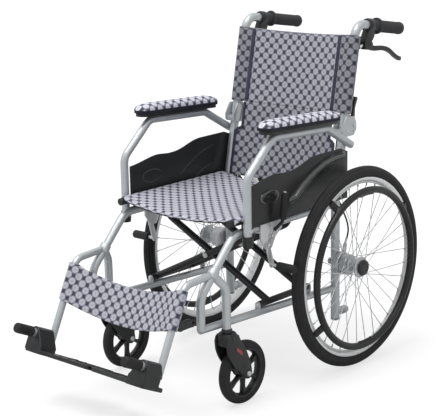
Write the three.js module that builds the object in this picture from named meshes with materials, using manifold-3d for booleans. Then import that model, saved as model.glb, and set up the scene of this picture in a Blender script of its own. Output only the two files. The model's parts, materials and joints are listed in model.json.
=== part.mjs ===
// Folding self-propelled wheelchair with attendant brakes and a fold-down back.
// Millimetres, +Z up. The user faces -Y and the user's left is +X.
// Pieces are laid out from the rear axle line (y = 0) and the floor (z = 0).

import * as THREE from 'three';
import { mergeVertices } from 'three/addons/utils/BufferGeometryUtils.js';
import Module from 'manifold-3d';

const wasm = await Module();
wasm.setup();

// Clearances
const SEAT_GAP = 0.3;          // between pieces that touch
const RUNNING_GAP = 0.4;       // radial, round a turning shaft
const SIDE_GAP = 1;            // beside a turning piece

// Side frame tubes
const FRAME_X = 195;           // plane of the side frame tubes
const POST_R = 12.5;
const TUBE_R = 11;
const RAIL_R = 10;
const SEAT_TUBE_Z = 445;
const FRONT_KNEE_Y = -425;     // where the seat tube turns down into the front leg
const FRONT_LEG_Y = -552;
const FRONT_ANKLE_Z = 311;     // where the front leg turns upright
const FRONT_BEND_R = 60;
const RAIL_FRONT_Z = 228;
const RAIL_REAR_Z = 204;
const POST_FOOT_Z = 113;
const POST_KNEE_Z = 467;
const POST_BEND_R = 120;
const BACK_LEAN = 0.2;         // rearward run per unit of height above the knee
const POST_TOP_Z = 650;
const TIP_STUB_Z = 130;
const TIP_STUB_R = 9.5;
const TIP_STUB_Y = 50;

// Armrest
const ARM_R = 11;
const ARM_X = FRAME_X + POST_R + ARM_R + SEAT_GAP;
const ARM_FRONT_Y = -397;
const ARM_FOOT_Z = 434;
const ARM_SHOULDER_Z = 588;
const ARM_TOP_FRONT = [-296, 678];
const ARM_TOP_REAR = [-72, 668];
const ARM_END = [38, 606];
const ARM_BEND_R = 38;
const PAD_LENGTH = 316;
const PAD_WIDTH = 50;
const PAD_HEIGHT = 23;
const PAD_CENTRE_Y = -186;
const ARM_BASE_HEIGHT = 9;
const ARM_BASE_WIDTH = 42;

// Skirt guard with its fender
const GUARD_THICK = 3.5;
const GUARD_FRONT_TOP_Z = 563;
const GUARD_REAR_TOP_Z = 588;
const GUARD_REAR_Y = 34;
const GUARD_CREST = [-105, 599];     // upper edge, from the fender forward
const GUARD_DIP = [-215, 576];
const GUARD_SWELL = [-284, 579];
const FENDER_CLEARANCE = 24;         // from the tyre out to the fender's middle
const FENDER_BAND = 15;
const FENDER_DEPTH = 15;
const EMBOSS_Y = -302;
const EMBOSS_Z = 524;
const EMBOSS_LENGTH = 80;
const EMBOSS_HEIGHT = 36;

// Leg rest
const LEG_R = 9.5;
const LEG_START = [-505, 362];
const LEG_KNEE = [-608, 356];
const LEG_BEND_R = 36;
const FOOT_PIVOT = [-700, 166];      // y and z where the leg tube meets the footplate pivot
const LEG_END_BELOW = 20;
const COLLAR_R = 14.5;
const COLLAR_LENGTH = 22;
const PIVOT_R = 11;
const PIVOT_REACH = 77;              // from the leg tube's axis forward to the cap
const PIVOT_CAP_R = 13.5;
const PIVOT_CAP_LENGTH = 56;
const HOUSING_WALL = 5;
const HOUSING_START = 11;
const HOUSING_LENGTH = 57;
const HOUSING_INBOARD = 38;
const FOOT_OUTBOARD = 21;
const FOOT_DROP = 40;                // pivot axis to the tread
const FOOT_THICK = 11;
const FOOT_INNER_X = 5;
const FOOT_FRONT = 47;
const FOOT_HEEL = 70;

// Front caster
const CASTER_X = 213;
const CASTER_STEM_Y = -476;
const CASTER_TRAIL = 57;
const CASTER_R = 85;
const CASTER_WIDTH = 28;
const CASTER_SIDES = 20;
const CASTER_BARREL_Z = 206;
const CASTER_HUB_R = 17;
const CASTER_RIM_R = 60;
const CASTER_SPOKES = 6;
const FORK_THICK = 5;
const STEM_R = 6;
const CASTER_BOLT_R = 4;
const BRANCH_START = [-507, 362];
const BRANCH_KNEE_Z = 322;

// Rear wheel
const WHEEL_X = 271;
const WHEEL_R = 280;
const WHEEL_SIDES = 30;
const TYRE_SIDES = 8;
const TYRE_R = 17;
const RIM_FLANGE = 1.7;              // rim edge above the tyre's seat
const RIM_DEPTH = 13;
const RIM_WIDTH = 22;
const SPOKE_COUNT = 24;
const SPOKE_R = 1.2;
const SPOKE_APART = 1.9;              // crossing spokes pass each other, from the flange's middle
const HUB_FLANGE_R = 28;
const HUB_BARREL_R = 13;
const HUB_INNER_X = 226;
const HUB_OUTER_X = 287;
const AXLE_R = 6;
const HUB_CAP_R = 22;
const HUB_CAP_DEPTH = 9;
const BRAKE_DRUM_R = 32;
const BRAKE_ARM_END = [24, 46];      // cable end, from the axle
const PUSH_RIM_R = 217;
const PUSH_RIM_TUBE_R = 9.5;
const PUSH_RIM_X = 299;
const STANDOFF_COUNT = 4;
const STANDOFF_TURN = 0.66;          // the first stand-off above the rear horizontal, in radians
const STANDOFF_WIDTH = 18;
const STANDOFF_FOOT = 12;

// Cross brace
const BRACE_R = 9.5;
const BRACE_PIVOT_Z = 238;
const BRACE_CENTRE_Z = 336;
const BRACE_BEND_X = 155;
const BRACE_TOP_INSET = 8;           // bar end inboard of its seat rail's axis
const BRACE_FRONT_Y = -300;
const BRACE_REAR_Y = -155;
const BRACE_STEP = 20;               // from one brace's bars to the other's, along Y
const BRACE_BOLT_R = 4;
const BRACE_TUBE_FRONT_Y = -330;
const BRACE_TUBE_REAR_Y = -124;
const BRACE_ROD_R = 5;
const SEAT_RAIL_R = 10;
const SEAT_RAIL_Z = 477;
const SEAT_RAIL_FRONT_Y = -440;
const SEAT_RAIL_REAR_Y = -18;
const SADDLE_PLACES = [-370, -60];
const SADDLE_LENGTH = 26;

// Fold-down back and push handles
const HINGE_BEHIND = 24;             // hinge axis behind the cane
const HINGE_Z = 656;
const HINGE_PIN_R = 4;
const BRACKET_WALL = 4;
const BRACKET_REACH = 28;            // above and below the hinge pin
const HINGE_EYE_R = 8;
const LUG_THICK = 9;
const RELEASE_PIVOT = [67, 673];
const RELEASE_THICK = 6;
const HANDLE_CORNER_Z = 927;
const HANDLE_BEND_R = 38;
const HANDLE_SLOPE = 0.15;
const HANDLE_END_Y = 314;
const HANDLE_TOE_IN = 12;
const GRIP_R = 16.5;
const GRIP_FLANGE_R = 23;
const GRIP_LENGTH = 130;
const GRIP_END_WALL = 5;
const CLAMP_R = 19;
const CLAMP_LENGTH = 26;
const CLAMP_TO_GRIP = 22;
const LEVER_PIVOT = [152, 864];
const LEVER_THICK = 9;
const BRACKET_ARM_THICK = 20;
const CABLE_R = 2.5;
const CABLE_X = 170;                 // cable line inboard of the cane and the post
const CABLE_BEHIND = 14;             // cable line behind the cane's and the post's
const CABLE_HEIGHTS = [780, 710, 640, 560];
const CABLE_TAIL = [[5, 24, 480], [16, 44, 420], [30, 52, 370]];   // outboard of its line, y and z

// Upholstery
const CLOTH = 4;
const SLEEVE_GAP = 0.8;
const SLING = 1.8;
const SLING_GAP = 0.6;
const SEAT_SAG = 20;
const SEAT_FRONT_Y = -432;
const SEAT_REAR_Y = -26;
const BACK_SAG = 24;
const BACK_LOW_Z = 688;
const BACK_TOP_Z = 895;
const LOWER_BACK_HALF = 160;
const LOWER_BACK_FOOT_Z = 478;
const STRAP_TOP = 187;               // along the leg tube above the footplate pivot
const STRAP_FOOT = 86;
const STRAP_SAG = 42;

// Parking brake
const PARK_PLATE_THICK = 4;
const PARK_PIVOT = [-296, 420];      // hand lever
const PARK_ARM_PIVOT = [-312, 398];
const PARK_ROLLER = [-296, 342];
const PARK_ROLLER_R = 11.5;
const PARK_ROLLER_LENGTH = 56;
const PARK_STUB_LENGTH = 20;          // thin neck between the shoe arm and the roller
const PARK_HANDLE_X = 238;
const PARK_HANDLE_TOP = [-271, 534];
const PARK_HANDLE_R = 9;
const PARK_SHAFT_R = 4.5;
const PARK_PIN_R = 3.5;

// Colours and finishes
const FINISH = {
  silver: { color: 0xb9bfc4, roughness: 0.35, metalness: 0.8 },
  steel: { color: 0xa6abb0, roughness: 0.4, metalness: 0.9 },
  black: { color: 0x232427, roughness: 0.55, metalness: 0 },
  blackTube: { color: 0x1b1c1e, roughness: 0.45, metalness: 0.3 },
  tyre: { color: 0x1d1d1f, roughness: 0.9, metalness: 0 },
  cloth: { color: 0x70707f, roughness: 0.95, metalness: 0 },
};

// Plain solids

function toSolid(geometry) {
  const bare = geometry.clone();
  bare.deleteAttribute('normal');
  bare.deleteAttribute('uv');
  const merged = mergeVertices(bare, 1e-3);
  const mesh = new wasm.Mesh({
    numProp: 3,
    vertProperties: new Float32Array(merged.attributes.position.array),
    triVerts: new Uint32Array(merged.index.array),
  });
  return new wasm.Manifold(mesh);
}

function toGeometry(solid) {
  const mesh = solid.getMesh();
  const geometry = new THREE.BufferGeometry();
  geometry.setAttribute('position', new THREE.BufferAttribute(mesh.vertProperties, 3));
  geometry.setIndex(new THREE.BufferAttribute(mesh.triVerts, 1));
  return geometry;
}

function join(...geometries) {
  const solids = geometries.map(toSolid);
  return toGeometry(solids.reduce((whole, next) => whole.add(next)));
}

function cut(geometry, ...tools) {
  const solids = tools.map(toSolid);
  return toGeometry(solids.reduce((rest, tool) => rest.subtract(tool), toSolid(geometry)));
}

function polygon(radius, sides, turn = 0) {
  const points = [];
  for (let i = 0; i < sides; i += 1) {
    const angle = turn + (i * 2 * Math.PI) / sides;
    points.push(new THREE.Vector2(radius * Math.cos(angle), radius * Math.sin(angle)));
  }
  return new THREE.Shape(points);
}

// A path that runs through its stations, with a section at each one and none between.
class StationPath extends THREE.Curve {
  constructor(stations) {
    super();
    this.stations = stations;
  }

  getPoint(t, target = new THREE.Vector3()) {
    const last = this.stations.length - 1;
    const place = Math.min(Math.max(t, 0), 1) * last;
    const index = Math.min(Math.floor(place), last - 1);
    return target.lerpVectors(this.stations[index], this.stations[index + 1], place - index);
  }

  getUtoTmapping(u) {
    return u;
  }
}

const at = (x, y, z) => new THREE.Vector3(x, y, z);

// The corners of a bent tube with each inner corner rounded to its bend radius.
function bent(corners, radius, steps = 3) {
  const stations = [corners[0]];
  for (let i = 1; i < corners.length - 1; i += 1) {
    const before = corners[i - 1].clone().sub(corners[i]).normalize();
    const after = corners[i + 1].clone().sub(corners[i]).normalize();
    const half = before.angleTo(after) / 2;
    const bisector = before.clone().add(after).normalize();
    const centre = corners[i].clone().addScaledVector(bisector, radius / Math.sin(half));
    const reach = radius / Math.tan(half);
    const first = corners[i].clone().addScaledVector(before, reach).sub(centre);
    const last = corners[i].clone().addScaledVector(after, reach).sub(centre);
    const sweep = first.angleTo(last);
    const turn = new THREE.Vector3().crossVectors(first, last).normalize();
    for (let step = 0; step <= steps; step += 1) {
      stations.push(first.clone().applyAxisAngle(turn, (sweep * step) / steps).add(centre));
    }
  }
  stations.push(corners[corners.length - 1]);
  return new StationPath(stations);
}

function tube(path, radius, sides = 8) {
  return new THREE.ExtrudeGeometry(polygon(radius, sides), {
    steps: path.stations.length - 1,
    bevelEnabled: false,
    extrudePath: path,
  });
}

function rod(from, to, radius, sides = 8) {
  return tube(new StationPath([from, to]), radius, sides);
}

// The tool for a hole whose flats clear a shaft of the given radius.
function hole(from, to, radius, sides = 8) {
  return rod(from, to, radius / Math.cos(Math.PI / sides), sides);
}

// A ring or shaft turned about the Y axis from [radius, y] points, in either order.
function turned(profile, sides) {
  const points = profile.map(([radius, y]) => new THREE.Vector2(radius, y));
  if (THREE.ShapeUtils.isClockWise(points)) {
    points.reverse();
  }
  return new THREE.LatheGeometry(points, sides);
}

function turnedX(profile, sides) {
  const geometry = turned(profile, sides);
  geometry.rotateY(Math.PI / sides);
  geometry.rotateZ(-Math.PI / 2);
  return geometry;
}

// A flat piece whose outline lies in the YZ plane, from x to x + thick.
function plateX(outline, x, thick, holes = []) {
  const shape = new THREE.Shape(outline.map(([y, z]) => new THREE.Vector2(y, z)));
  holes.forEach((hole) => shape.holes.push(hole));
  return shapeX(shape, x, thick);
}

function shapeX(shape, x, thick, segments = 6) {
  const geometry = new THREE.ExtrudeGeometry(shape, {
    depth: thick,
    bevelEnabled: false,
    curveSegments: segments,
  });
  const stand = new THREE.Matrix4().makeBasis(at(0, 1, 0), at(0, 0, 1), at(1, 0, 0));
  geometry.applyMatrix4(stand);
  geometry.translate(x, 0, 0);
  return geometry;
}

function box(x0, x1, y0, y1, z0, z1) {
  const geometry = new THREE.BoxGeometry(x1 - x0, y1 - y0, z1 - z0);
  geometry.translate((x0 + x1) / 2, (y0 + y1) / 2, (z0 + z1) / 2);
  return geometry;
}

function circleHole(y, z, radius, sides = 10) {
  const points = polygon(radius, sides).getPoints();
  return new THREE.Path(points.map((point) => new THREE.Vector2(point.x + y, point.y + z)));
}

function piece(name, geometry, finish) {
  const mesh = new THREE.Mesh(geometry, new THREE.MeshStandardMaterial(finish));
  mesh.name = name;
  return mesh;
}

// Lines that several pieces share

const leanY = (z) => BACK_LEAN * (z - POST_KNEE_Z);
const railZ = (y) => RAIL_REAR_Z + ((RAIL_REAR_Z - RAIL_FRONT_Z) * y) / -FRONT_LEG_Y;
const AXLE_Z = WHEEL_R * Math.cos(Math.PI / WHEEL_SIDES);
const FENDER_R = WHEEL_R + FENDER_CLEARANCE;
const CASTER_Z = CASTER_R * Math.cos(Math.PI / CASTER_SIDES);
const CASTER_Y = CASTER_STEM_Y + CASTER_TRAIL;
const RAIL_TILT = Math.atan2(RAIL_FRONT_Z - RAIL_REAR_Z, -FRONT_LEG_Y);
const LEG_RUN = LEG_KNEE[0] - FOOT_PIVOT[0];
const LEG_RISE = LEG_KNEE[1] - FOOT_PIVOT[1];
const LEG_TILT = Math.atan2(LEG_RUN, LEG_RISE);
const FRONT_LEG_FOOT_Z = RAIL_FRONT_Z + RAIL_R / Math.cos(RAIL_TILT) + SEAT_GAP;
const HINGE_Y = leanY(HINGE_Z) + HINGE_BEHIND;
const BRACKET_FOOT_Z = HINGE_Z - BRACKET_REACH;
const BRACKET_TOP_Z = HINGE_Z + BRACKET_REACH;
const BRACE_SLOPE = (BRACE_CENTRE_Z - BRACE_PIVOT_Z) / FRAME_X;

const frontTubePath = () => bent(
  [
    at(FRAME_X, -POST_R - SEAT_GAP, SEAT_TUBE_Z),
    at(FRAME_X, FRONT_KNEE_Y, SEAT_TUBE_Z),
    at(FRAME_X, FRONT_LEG_Y, FRONT_ANKLE_Z),
    at(FRAME_X, FRONT_LEG_Y, FRONT_LEG_FOOT_Z),
  ],
  FRONT_BEND_R,
);

// Side frame

function frontFrame() {
  const main = tube(frontTubePath(), TUBE_R);
  const branch = tube(branchPath(), TUBE_R);
  const stemBore = hole(
    at(CASTER_X, CASTER_STEM_Y, CASTER_BARREL_Z - 1),
    at(CASTER_X, CASTER_STEM_Y, CASTER_BARREL_Z + 52),
    STEM_R + RUNNING_GAP,
  );
  const railClear = hole(
    at(FRAME_X, FRONT_LEG_Y - TUBE_R, railZ(FRONT_LEG_Y - TUBE_R)),
    at(FRAME_X, -POST_R, railZ(-POST_R)),
    RAIL_R + SEAT_GAP,
    16,
  );
  const railBed = hole(
    at(FRAME_X, SEAT_RAIL_FRONT_Y, SEAT_RAIL_Z),
    at(FRAME_X, SEAT_RAIL_REAR_Y, SEAT_RAIL_Z),
    SEAT_RAIL_R + SEAT_GAP,
    16,
  );
  const saddles = SADDLE_PLACES.map((y) => cut(
    box(
      FRAME_X - TUBE_R,
      FRAME_X + TUBE_R,
      y - SADDLE_LENGTH / 2,
      y + SADDLE_LENGTH / 2,
      SEAT_TUBE_Z,
      SEAT_RAIL_Z - SEAT_RAIL_R * 0.55,
    ),
    railBed,
  ));
  return cut(join(main, branch, ...saddles), stemBore, railClear);
}

function lowerRail() {
  const tubeFront = FRONT_LEG_Y - TUBE_R;
  const rail = cut(
    rod(at(FRAME_X, tubeFront, railZ(tubeFront)), at(FRAME_X, 0, railZ(0)), RAIL_R),
    tube(postPath(), POST_R + SEAT_GAP),
  );
  const pivotRod = rod(
    at(FRAME_X, BRACE_TUBE_FRONT_Y - 7, BRACE_PIVOT_Z),
    at(FRAME_X, BRACE_TUBE_REAR_Y + 7, BRACE_PIVOT_Z),
    BRACE_ROD_R,
    10,
  );
  const lug = (y0, y1) => {
    const foot = railZ((y0 + y1) / 2);
    return join(
      box(FRAME_X - 7, FRAME_X + 7, y0, y1, foot, BRACE_PIVOT_Z),
      rod(at(FRAME_X, y0, BRACE_PIVOT_Z), at(FRAME_X, y1, BRACE_PIVOT_Z), 7, 10),
    );
  };
  return join(
    rail,
    pivotRod,
    lug(BRACE_TUBE_FRONT_Y - SIDE_GAP - 5, BRACE_TUBE_FRONT_Y - SIDE_GAP),
    lug(BRACE_TUBE_REAR_Y + SIDE_GAP, BRACE_TUBE_REAR_Y + SIDE_GAP + 5),
  );
}

const postPath = () => bent(
  [
    at(FRAME_X, 0, POST_FOOT_Z),
    at(FRAME_X, 0, POST_KNEE_Z),
    at(FRAME_X, leanY(POST_TOP_Z), POST_TOP_Z),
  ],
  POST_BEND_R,
);

function rearPost() {
  const stub = rod(at(FRAME_X, 0, TIP_STUB_Z), at(FRAME_X, TIP_STUB_Y, TIP_STUB_Z), TIP_STUB_R, 10);
  const stubCap = rod(
    at(FRAME_X, TIP_STUB_Y - 12, TIP_STUB_Z),
    at(FRAME_X, TIP_STUB_Y + 3, TIP_STUB_Z),
    TIP_STUB_R + 1.5,
    10,
  );
  const axleBore = hole(
    at(FRAME_X - 2 * POST_R, 0, AXLE_Z),
    at(FRAME_X + 2 * POST_R, 0, AXLE_Z),
    AXLE_R + SEAT_GAP,
  );
  return cut(join(tube(postPath(), POST_R), stub, stubCap), axleBore);
}

// Armrest

function armrestTube() {
  return tube(
    bent(
      [
        at(ARM_X, ARM_FRONT_Y, ARM_FOOT_Z),
        at(ARM_X, ARM_FRONT_Y, ARM_SHOULDER_Z),
        at(ARM_X, ...ARM_TOP_FRONT),
        at(ARM_X, ...ARM_TOP_REAR),
        at(ARM_X, ...ARM_END),
      ],
      ARM_BEND_R,
    ),
    ARM_R,
  );
}

const ARM_TILT = Math.atan2(
  ARM_TOP_REAR[1] - ARM_TOP_FRONT[1],
  ARM_TOP_REAR[0] - ARM_TOP_FRONT[0],
);
const ARM_MID = [
  (ARM_TOP_FRONT[0] + ARM_TOP_REAR[0]) / 2,
  (ARM_TOP_FRONT[1] + ARM_TOP_REAR[1]) / 2,
];

// A bar with round ends, seen from above, with its length along Y.
function padOutline(length, width, segments) {
  const shape = new THREE.Shape();
  const radius = width / 2;
  const reach = length / 2 - radius;
  for (let i = 0; i <= segments; i += 1) {
    const angle = (Math.PI * i) / segments;
    shape.lineTo(radius * Math.cos(angle), reach + radius * Math.sin(angle));
  }
  for (let i = 0; i <= segments; i += 1) {
    const angle = Math.PI + (Math.PI * i) / segments;
    shape.lineTo(radius * Math.cos(angle), -reach + radius * Math.sin(angle));
  }
  shape.curves.shift();
  return shape;
}

// Puts a piece that is built flat at the origin on top of the level armrest tube.
function onArm(geometry, height) {
  geometry.translate(0, PAD_CENTRE_Y - ARM_MID[0], ARM_R + SEAT_GAP + height);
  geometry.rotateX(ARM_TILT);
  geometry.translate(ARM_X, ...ARM_MID);
  return geometry;
}

function armBase() {
  const shell = new THREE.ExtrudeGeometry(padOutline(PAD_LENGTH - 8, ARM_BASE_WIDTH, 6), {
    depth: ARM_BASE_HEIGHT,
    bevelEnabled: false,
  });
  return onArm(shell, 0);
}

function armPad() {
  const bevel = 9;
  const pad = new THREE.ExtrudeGeometry(padOutline(PAD_LENGTH - 2 * bevel, PAD_WIDTH - 2 * bevel, 7), {
    depth: PAD_HEIGHT - 2 * bevel,
    bevelThickness: bevel,
    bevelSize: bevel,
    bevelSegments: 3,
  });
  pad.translate(0, 0, bevel);
  return onArm(pad, ARM_BASE_HEIGHT + SEAT_GAP);
}

// Skirt guard

function guardOutline() {
  const front = ARM_FRONT_Y + ARM_R + SEAT_GAP;
  const foot = SEAT_TUBE_Z + TUBE_R + 1;
  const shape = new THREE.Shape();
  const [crestY, crestZ] = GUARD_CREST;
  const [dipY, dipZ] = GUARD_DIP;
  const [swellY, swellZ] = GUARD_SWELL;
  shape.moveTo(front, foot);
  shape.lineTo(GUARD_REAR_Y, foot);
  shape.lineTo(GUARD_REAR_Y, GUARD_REAR_TOP_Z);
  shape.lineTo(0, crestZ + 1);
  shape.lineTo(crestY, crestZ);
  shape.bezierCurveTo(crestY - 45, crestZ - 3, dipY + 45, dipZ + 2, dipY, dipZ);
  shape.bezierCurveTo(dipY - 30, dipZ - 2, swellY + 22, swellZ + 1, swellY, swellZ);
  shape.bezierCurveTo(swellY - 34, swellZ - 3, front + 40, GUARD_FRONT_TOP_Z + 3, front, GUARD_FRONT_TOP_Z);
  return shape;
}

function skirtGuard() {
  const inner = FRAME_X + POST_R + 2 * SEAT_GAP;
  const sheet = shapeX(guardOutline(), inner, GUARD_THICK, 4);
  const arc = new THREE.Shape();
  const start = Math.PI * 0.755;
  const end = Math.PI * 0.475;
  arc.absarc(0, AXLE_Z, FENDER_R + FENDER_BAND / 2, start, end, true);
  arc.absarc(0, AXLE_Z, FENDER_R - FENDER_BAND / 2, end, start, false);
  const fender = new THREE.ExtrudeGeometry(arc, {
    depth: FENDER_DEPTH - 8,
    bevelThickness: 4,
    bevelSize: 4,
    bevelOffset: -4,
    bevelSegments: 1,
    curveSegments: 8,
  });
  fender.applyMatrix4(new THREE.Matrix4().makeBasis(at(0, 1, 0), at(0, 0, 1), at(1, 0, 0)));
  fender.translate(inner + 5, 0, 0);
  const emboss = new THREE.Shape();
  emboss.absellipse(EMBOSS_Y, EMBOSS_Z, EMBOSS_LENGTH / 2, EMBOSS_HEIGHT / 2, 0, 2 * Math.PI);
  const badge = shapeX(emboss, inner, GUARD_THICK + 2.5, 8);
  const whole = join(sheet, fender, badge);
  const armClear = tube(
    bent([at(ARM_X, ...ARM_TOP_REAR), at(ARM_X, (ARM_TOP_REAR[0] + ARM_END[0]) / 2,
      (ARM_TOP_REAR[1] + ARM_END[1]) / 2), at(ARM_X, ARM_END[0] + 12, ARM_END[1] - 7)], 1, 1),
    ARM_R + 1,
  );
  return cut(whole, armClear);
}

// Leg rest, built along the leg tube: z runs up the tube and -y forward

function legRest() {
  const band = new THREE.Vector3(0, LEG_START[0] - FRONT_LEG_Y, LEG_START[1] - FRONT_ANKLE_Z).normalize();
  const middle = at(FRAME_X, ...LEG_START);
  const collar = rod(
    middle.clone().addScaledVector(band, -COLLAR_LENGTH / 2),
    middle.clone().addScaledVector(band, COLLAR_LENGTH / 2),
    COLLAR_R,
    10,
  );
  const down = at(0, FOOT_PIVOT[0] - LEG_KNEE[0], FOOT_PIVOT[1] - LEG_KNEE[1]).normalize();
  const pivot = at(FRAME_X, ...FOOT_PIVOT);
  const leg = tube(
    bent([middle, at(FRAME_X, ...LEG_KNEE), pivot.clone().addScaledVector(down, LEG_END_BELOW)], LEG_BEND_R, 4),
    LEG_R,
  );
  const forward = at(0, -Math.cos(LEG_TILT), Math.sin(LEG_TILT));
  const pivotTube = rod(pivot, pivot.clone().addScaledVector(forward, PIVOT_REACH), PIVOT_R, 12);
  const frameClear = tube(frontTubePath(), TUBE_R + SEAT_GAP);
  const branchClear = tube(branchPath(), TUBE_R + SEAT_GAP);
  return cut(join(leg, pivotTube, collar), frameClear, branchClear);
}

function footCap() {
  const cap = turned(
    [
      [0, 0],
      [PIVOT_CAP_R, 0],
      [PIVOT_CAP_R, PIVOT_CAP_LENGTH - 5],
      [PIVOT_CAP_R - 4, PIVOT_CAP_LENGTH],
      [0, PIVOT_CAP_LENGTH],
    ],
    16,
  );
  cap.rotateX(Math.PI);
  cap.translate(FRAME_X, -PIVOT_REACH - SEAT_GAP, 0);
  return cap;
}

function footplate() {
  const tread = new THREE.Shape();
  const outer = FRAME_X + FOOT_OUTBOARD;
  const nose = HOUSING_START + HOUSING_LENGTH;
  const inboard = FRAME_X - HOUSING_INBOARD;
  tread.moveTo(outer, 4);
  tread.lineTo(outer, -nose + 6);
  tread.lineTo(outer - 6, -nose);
  tread.lineTo(inboard, -nose);
  tread.lineTo(inboard - 12, -FOOT_FRONT - 4);
  tread.lineTo(FOOT_INNER_X + 14, -FOOT_FRONT + 4);
  tread.quadraticCurveTo(FOOT_INNER_X, -FOOT_FRONT + 4, FOOT_INNER_X, -FOOT_FRONT + 18);
  tread.lineTo(FOOT_INNER_X, FOOT_HEEL - 22);
  tread.quadraticCurveTo(FOOT_INNER_X, FOOT_HEEL, FOOT_INNER_X + 24, FOOT_HEEL);
  tread.lineTo(FOOT_INNER_X + 70, FOOT_HEEL - 4);
  const bevel = 2;
  const slab = new THREE.ExtrudeGeometry(tread, {
    depth: FOOT_THICK - 2 * bevel,
    bevelThickness: bevel,
    bevelSize: bevel,
    bevelOffset: -bevel,
    bevelSegments: 1,
    curveSegments: 4,
  });
  slab.translate(0, 0, -FOOT_DROP - FOOT_THICK + bevel);
  const round = PIVOT_R + RUNNING_GAP + HOUSING_WALL;
  const foot = -FOOT_DROP - FOOT_THICK / 2;
  const section = new THREE.Shape();
  section.moveTo(FOOT_OUTBOARD, foot);
  section.lineTo(FOOT_OUTBOARD, -6);
  section.absarc(0, 0, round, 0.12, Math.PI * 0.86, false);
  section.lineTo(-HOUSING_INBOARD, -FOOT_DROP + 12);
  section.lineTo(-HOUSING_INBOARD, foot);
  const housing = new THREE.ExtrudeGeometry(section, {
    depth: HOUSING_LENGTH - 4,
    bevelThickness: 2,
    bevelSize: 2,
    bevelOffset: -2,
    bevelSegments: 1,
    curveSegments: 8,
  });
  housing.applyMatrix4(new THREE.Matrix4().makeBasis(at(1, 0, 0), at(0, 0, 1), at(0, -1, 0)));
  housing.translate(FRAME_X, -HOUSING_START - 2, 0);
  const bore = hole(
    at(FRAME_X, -HOUSING_START + 1, 0),
    at(FRAME_X, -nose - 1, 0),
    PIVOT_R + SEAT_GAP,
    12,
  );
  const ribs = [0.3, 0.52, 0.74].map((share) => {
    const x = FOOT_INNER_X + share * (inboard - FOOT_INNER_X);
    return box(x - 3, x + 3, -FOOT_FRONT + 12, FOOT_HEEL - 36, -FOOT_DROP - 1, -FOOT_DROP + 1.6);
  });
  return cut(join(slab, housing, ...ribs), bore);
}

// Front caster, built about its stem

const branchPath = () => bent(
  [
    at(FRAME_X, BRANCH_START[0], BRANCH_START[1]),
    at(CASTER_X, CASTER_STEM_Y, BRANCH_KNEE_Z),
    at(CASTER_X, CASTER_STEM_Y, CASTER_BARREL_Z),
  ],
  34,
);

function casterFork() {
  const crownTop = CASTER_BARREL_Z - SIDE_GAP;
  const inner = CASTER_WIDTH / 2 + 3;
  const crown = box(-inner - FORK_THICK, inner + FORK_THICK, -23, 27, crownTop - 22, crownTop);
  const stem = rod(at(0, 0, crownTop - 6), at(0, 0, crownTop + 48), STEM_R, 10);
  const leg = (x) => {
    const outline = new THREE.Shape();
    outline.moveTo(-23, crownTop);
    outline.lineTo(-25, crownTop - 30);
    outline.quadraticCurveTo(-14, CASTER_Z + 34, CASTER_TRAIL - 14, CASTER_Z - 4);
    outline.absarc(CASTER_TRAIL, CASTER_Z, 14, Math.PI * 1.1, Math.PI * 2.1, false);
    outline.quadraticCurveTo(CASTER_TRAIL + 8, CASTER_Z + 46, 27, crownTop - 12);
    outline.lineTo(27, crownTop);
    return shapeX(outline, x, FORK_THICK, 3);
  };
  const bolt = rod(
    at(-inner - FORK_THICK - 1, CASTER_TRAIL, CASTER_Z),
    at(inner + FORK_THICK + 1, CASTER_TRAIL, CASTER_Z),
    CASTER_BOLT_R,
    10,
  );
  const head = (x) => rod(at(x, CASTER_TRAIL, CASTER_Z), at(x + 4, CASTER_TRAIL, CASTER_Z), 8, 6);
  return join(crown, stem, leg(-inner - FORK_THICK), leg(inner), bolt, head(-inner - FORK_THICK - 4), head(inner + FORK_THICK));
}

function casterWheel() {
  const half = CASTER_WIDTH / 2;
  const tyreAndRim = turnedX(
    [
      [CASTER_R, -half + 8],
      [CASTER_R, half - 8],
      [CASTER_R - 8, half],
      [CASTER_RIM_R, half - 5],
      [CASTER_RIM_R, -half + 5],
      [CASTER_R - 8, -half],
      [CASTER_R, -half + 8],
    ],
    CASTER_SIDES,
  );
  const bore = CASTER_BOLT_R + RUNNING_GAP;
  const hub = turnedX(
    [[bore, -half - 2], [bore, half + 2], [CASTER_HUB_R, half + 2], [CASTER_HUB_R, -half - 2], [bore, -half - 2]],
    8,
  );
  const spokes = [];
  for (let i = 0; i < CASTER_SPOKES; i += 1) {
    const spoke = box(-5, 5, -7, 7, CASTER_HUB_R - 4, CASTER_RIM_R + 3);
    spoke.rotateX((i * 2 * Math.PI) / CASTER_SPOKES);
    spokes.push(spoke);
  }
  return join(tyreAndRim, hub, ...spokes);
}

// Rear wheel, built about its axle

const TYRE_FLAT = Math.cos(Math.PI / TYRE_SIDES);
const RIM_SEAT_R = WHEEL_R - 2 * TYRE_R * TYRE_FLAT - SEAT_GAP;
const RIM_OUTER_R = RIM_SEAT_R + RIM_FLANGE;

function rearTyre() {
  const centre = WHEEL_R - TYRE_R * TYRE_FLAT;
  const section = polygon(TYRE_R, TYRE_SIDES, Math.PI / TYRE_SIDES).getPoints();
  const profile = section.map((point) => [centre + point.x, point.y]);
  profile.push(profile[0]);
  return turnedX(profile, WHEEL_SIDES);
}

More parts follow.
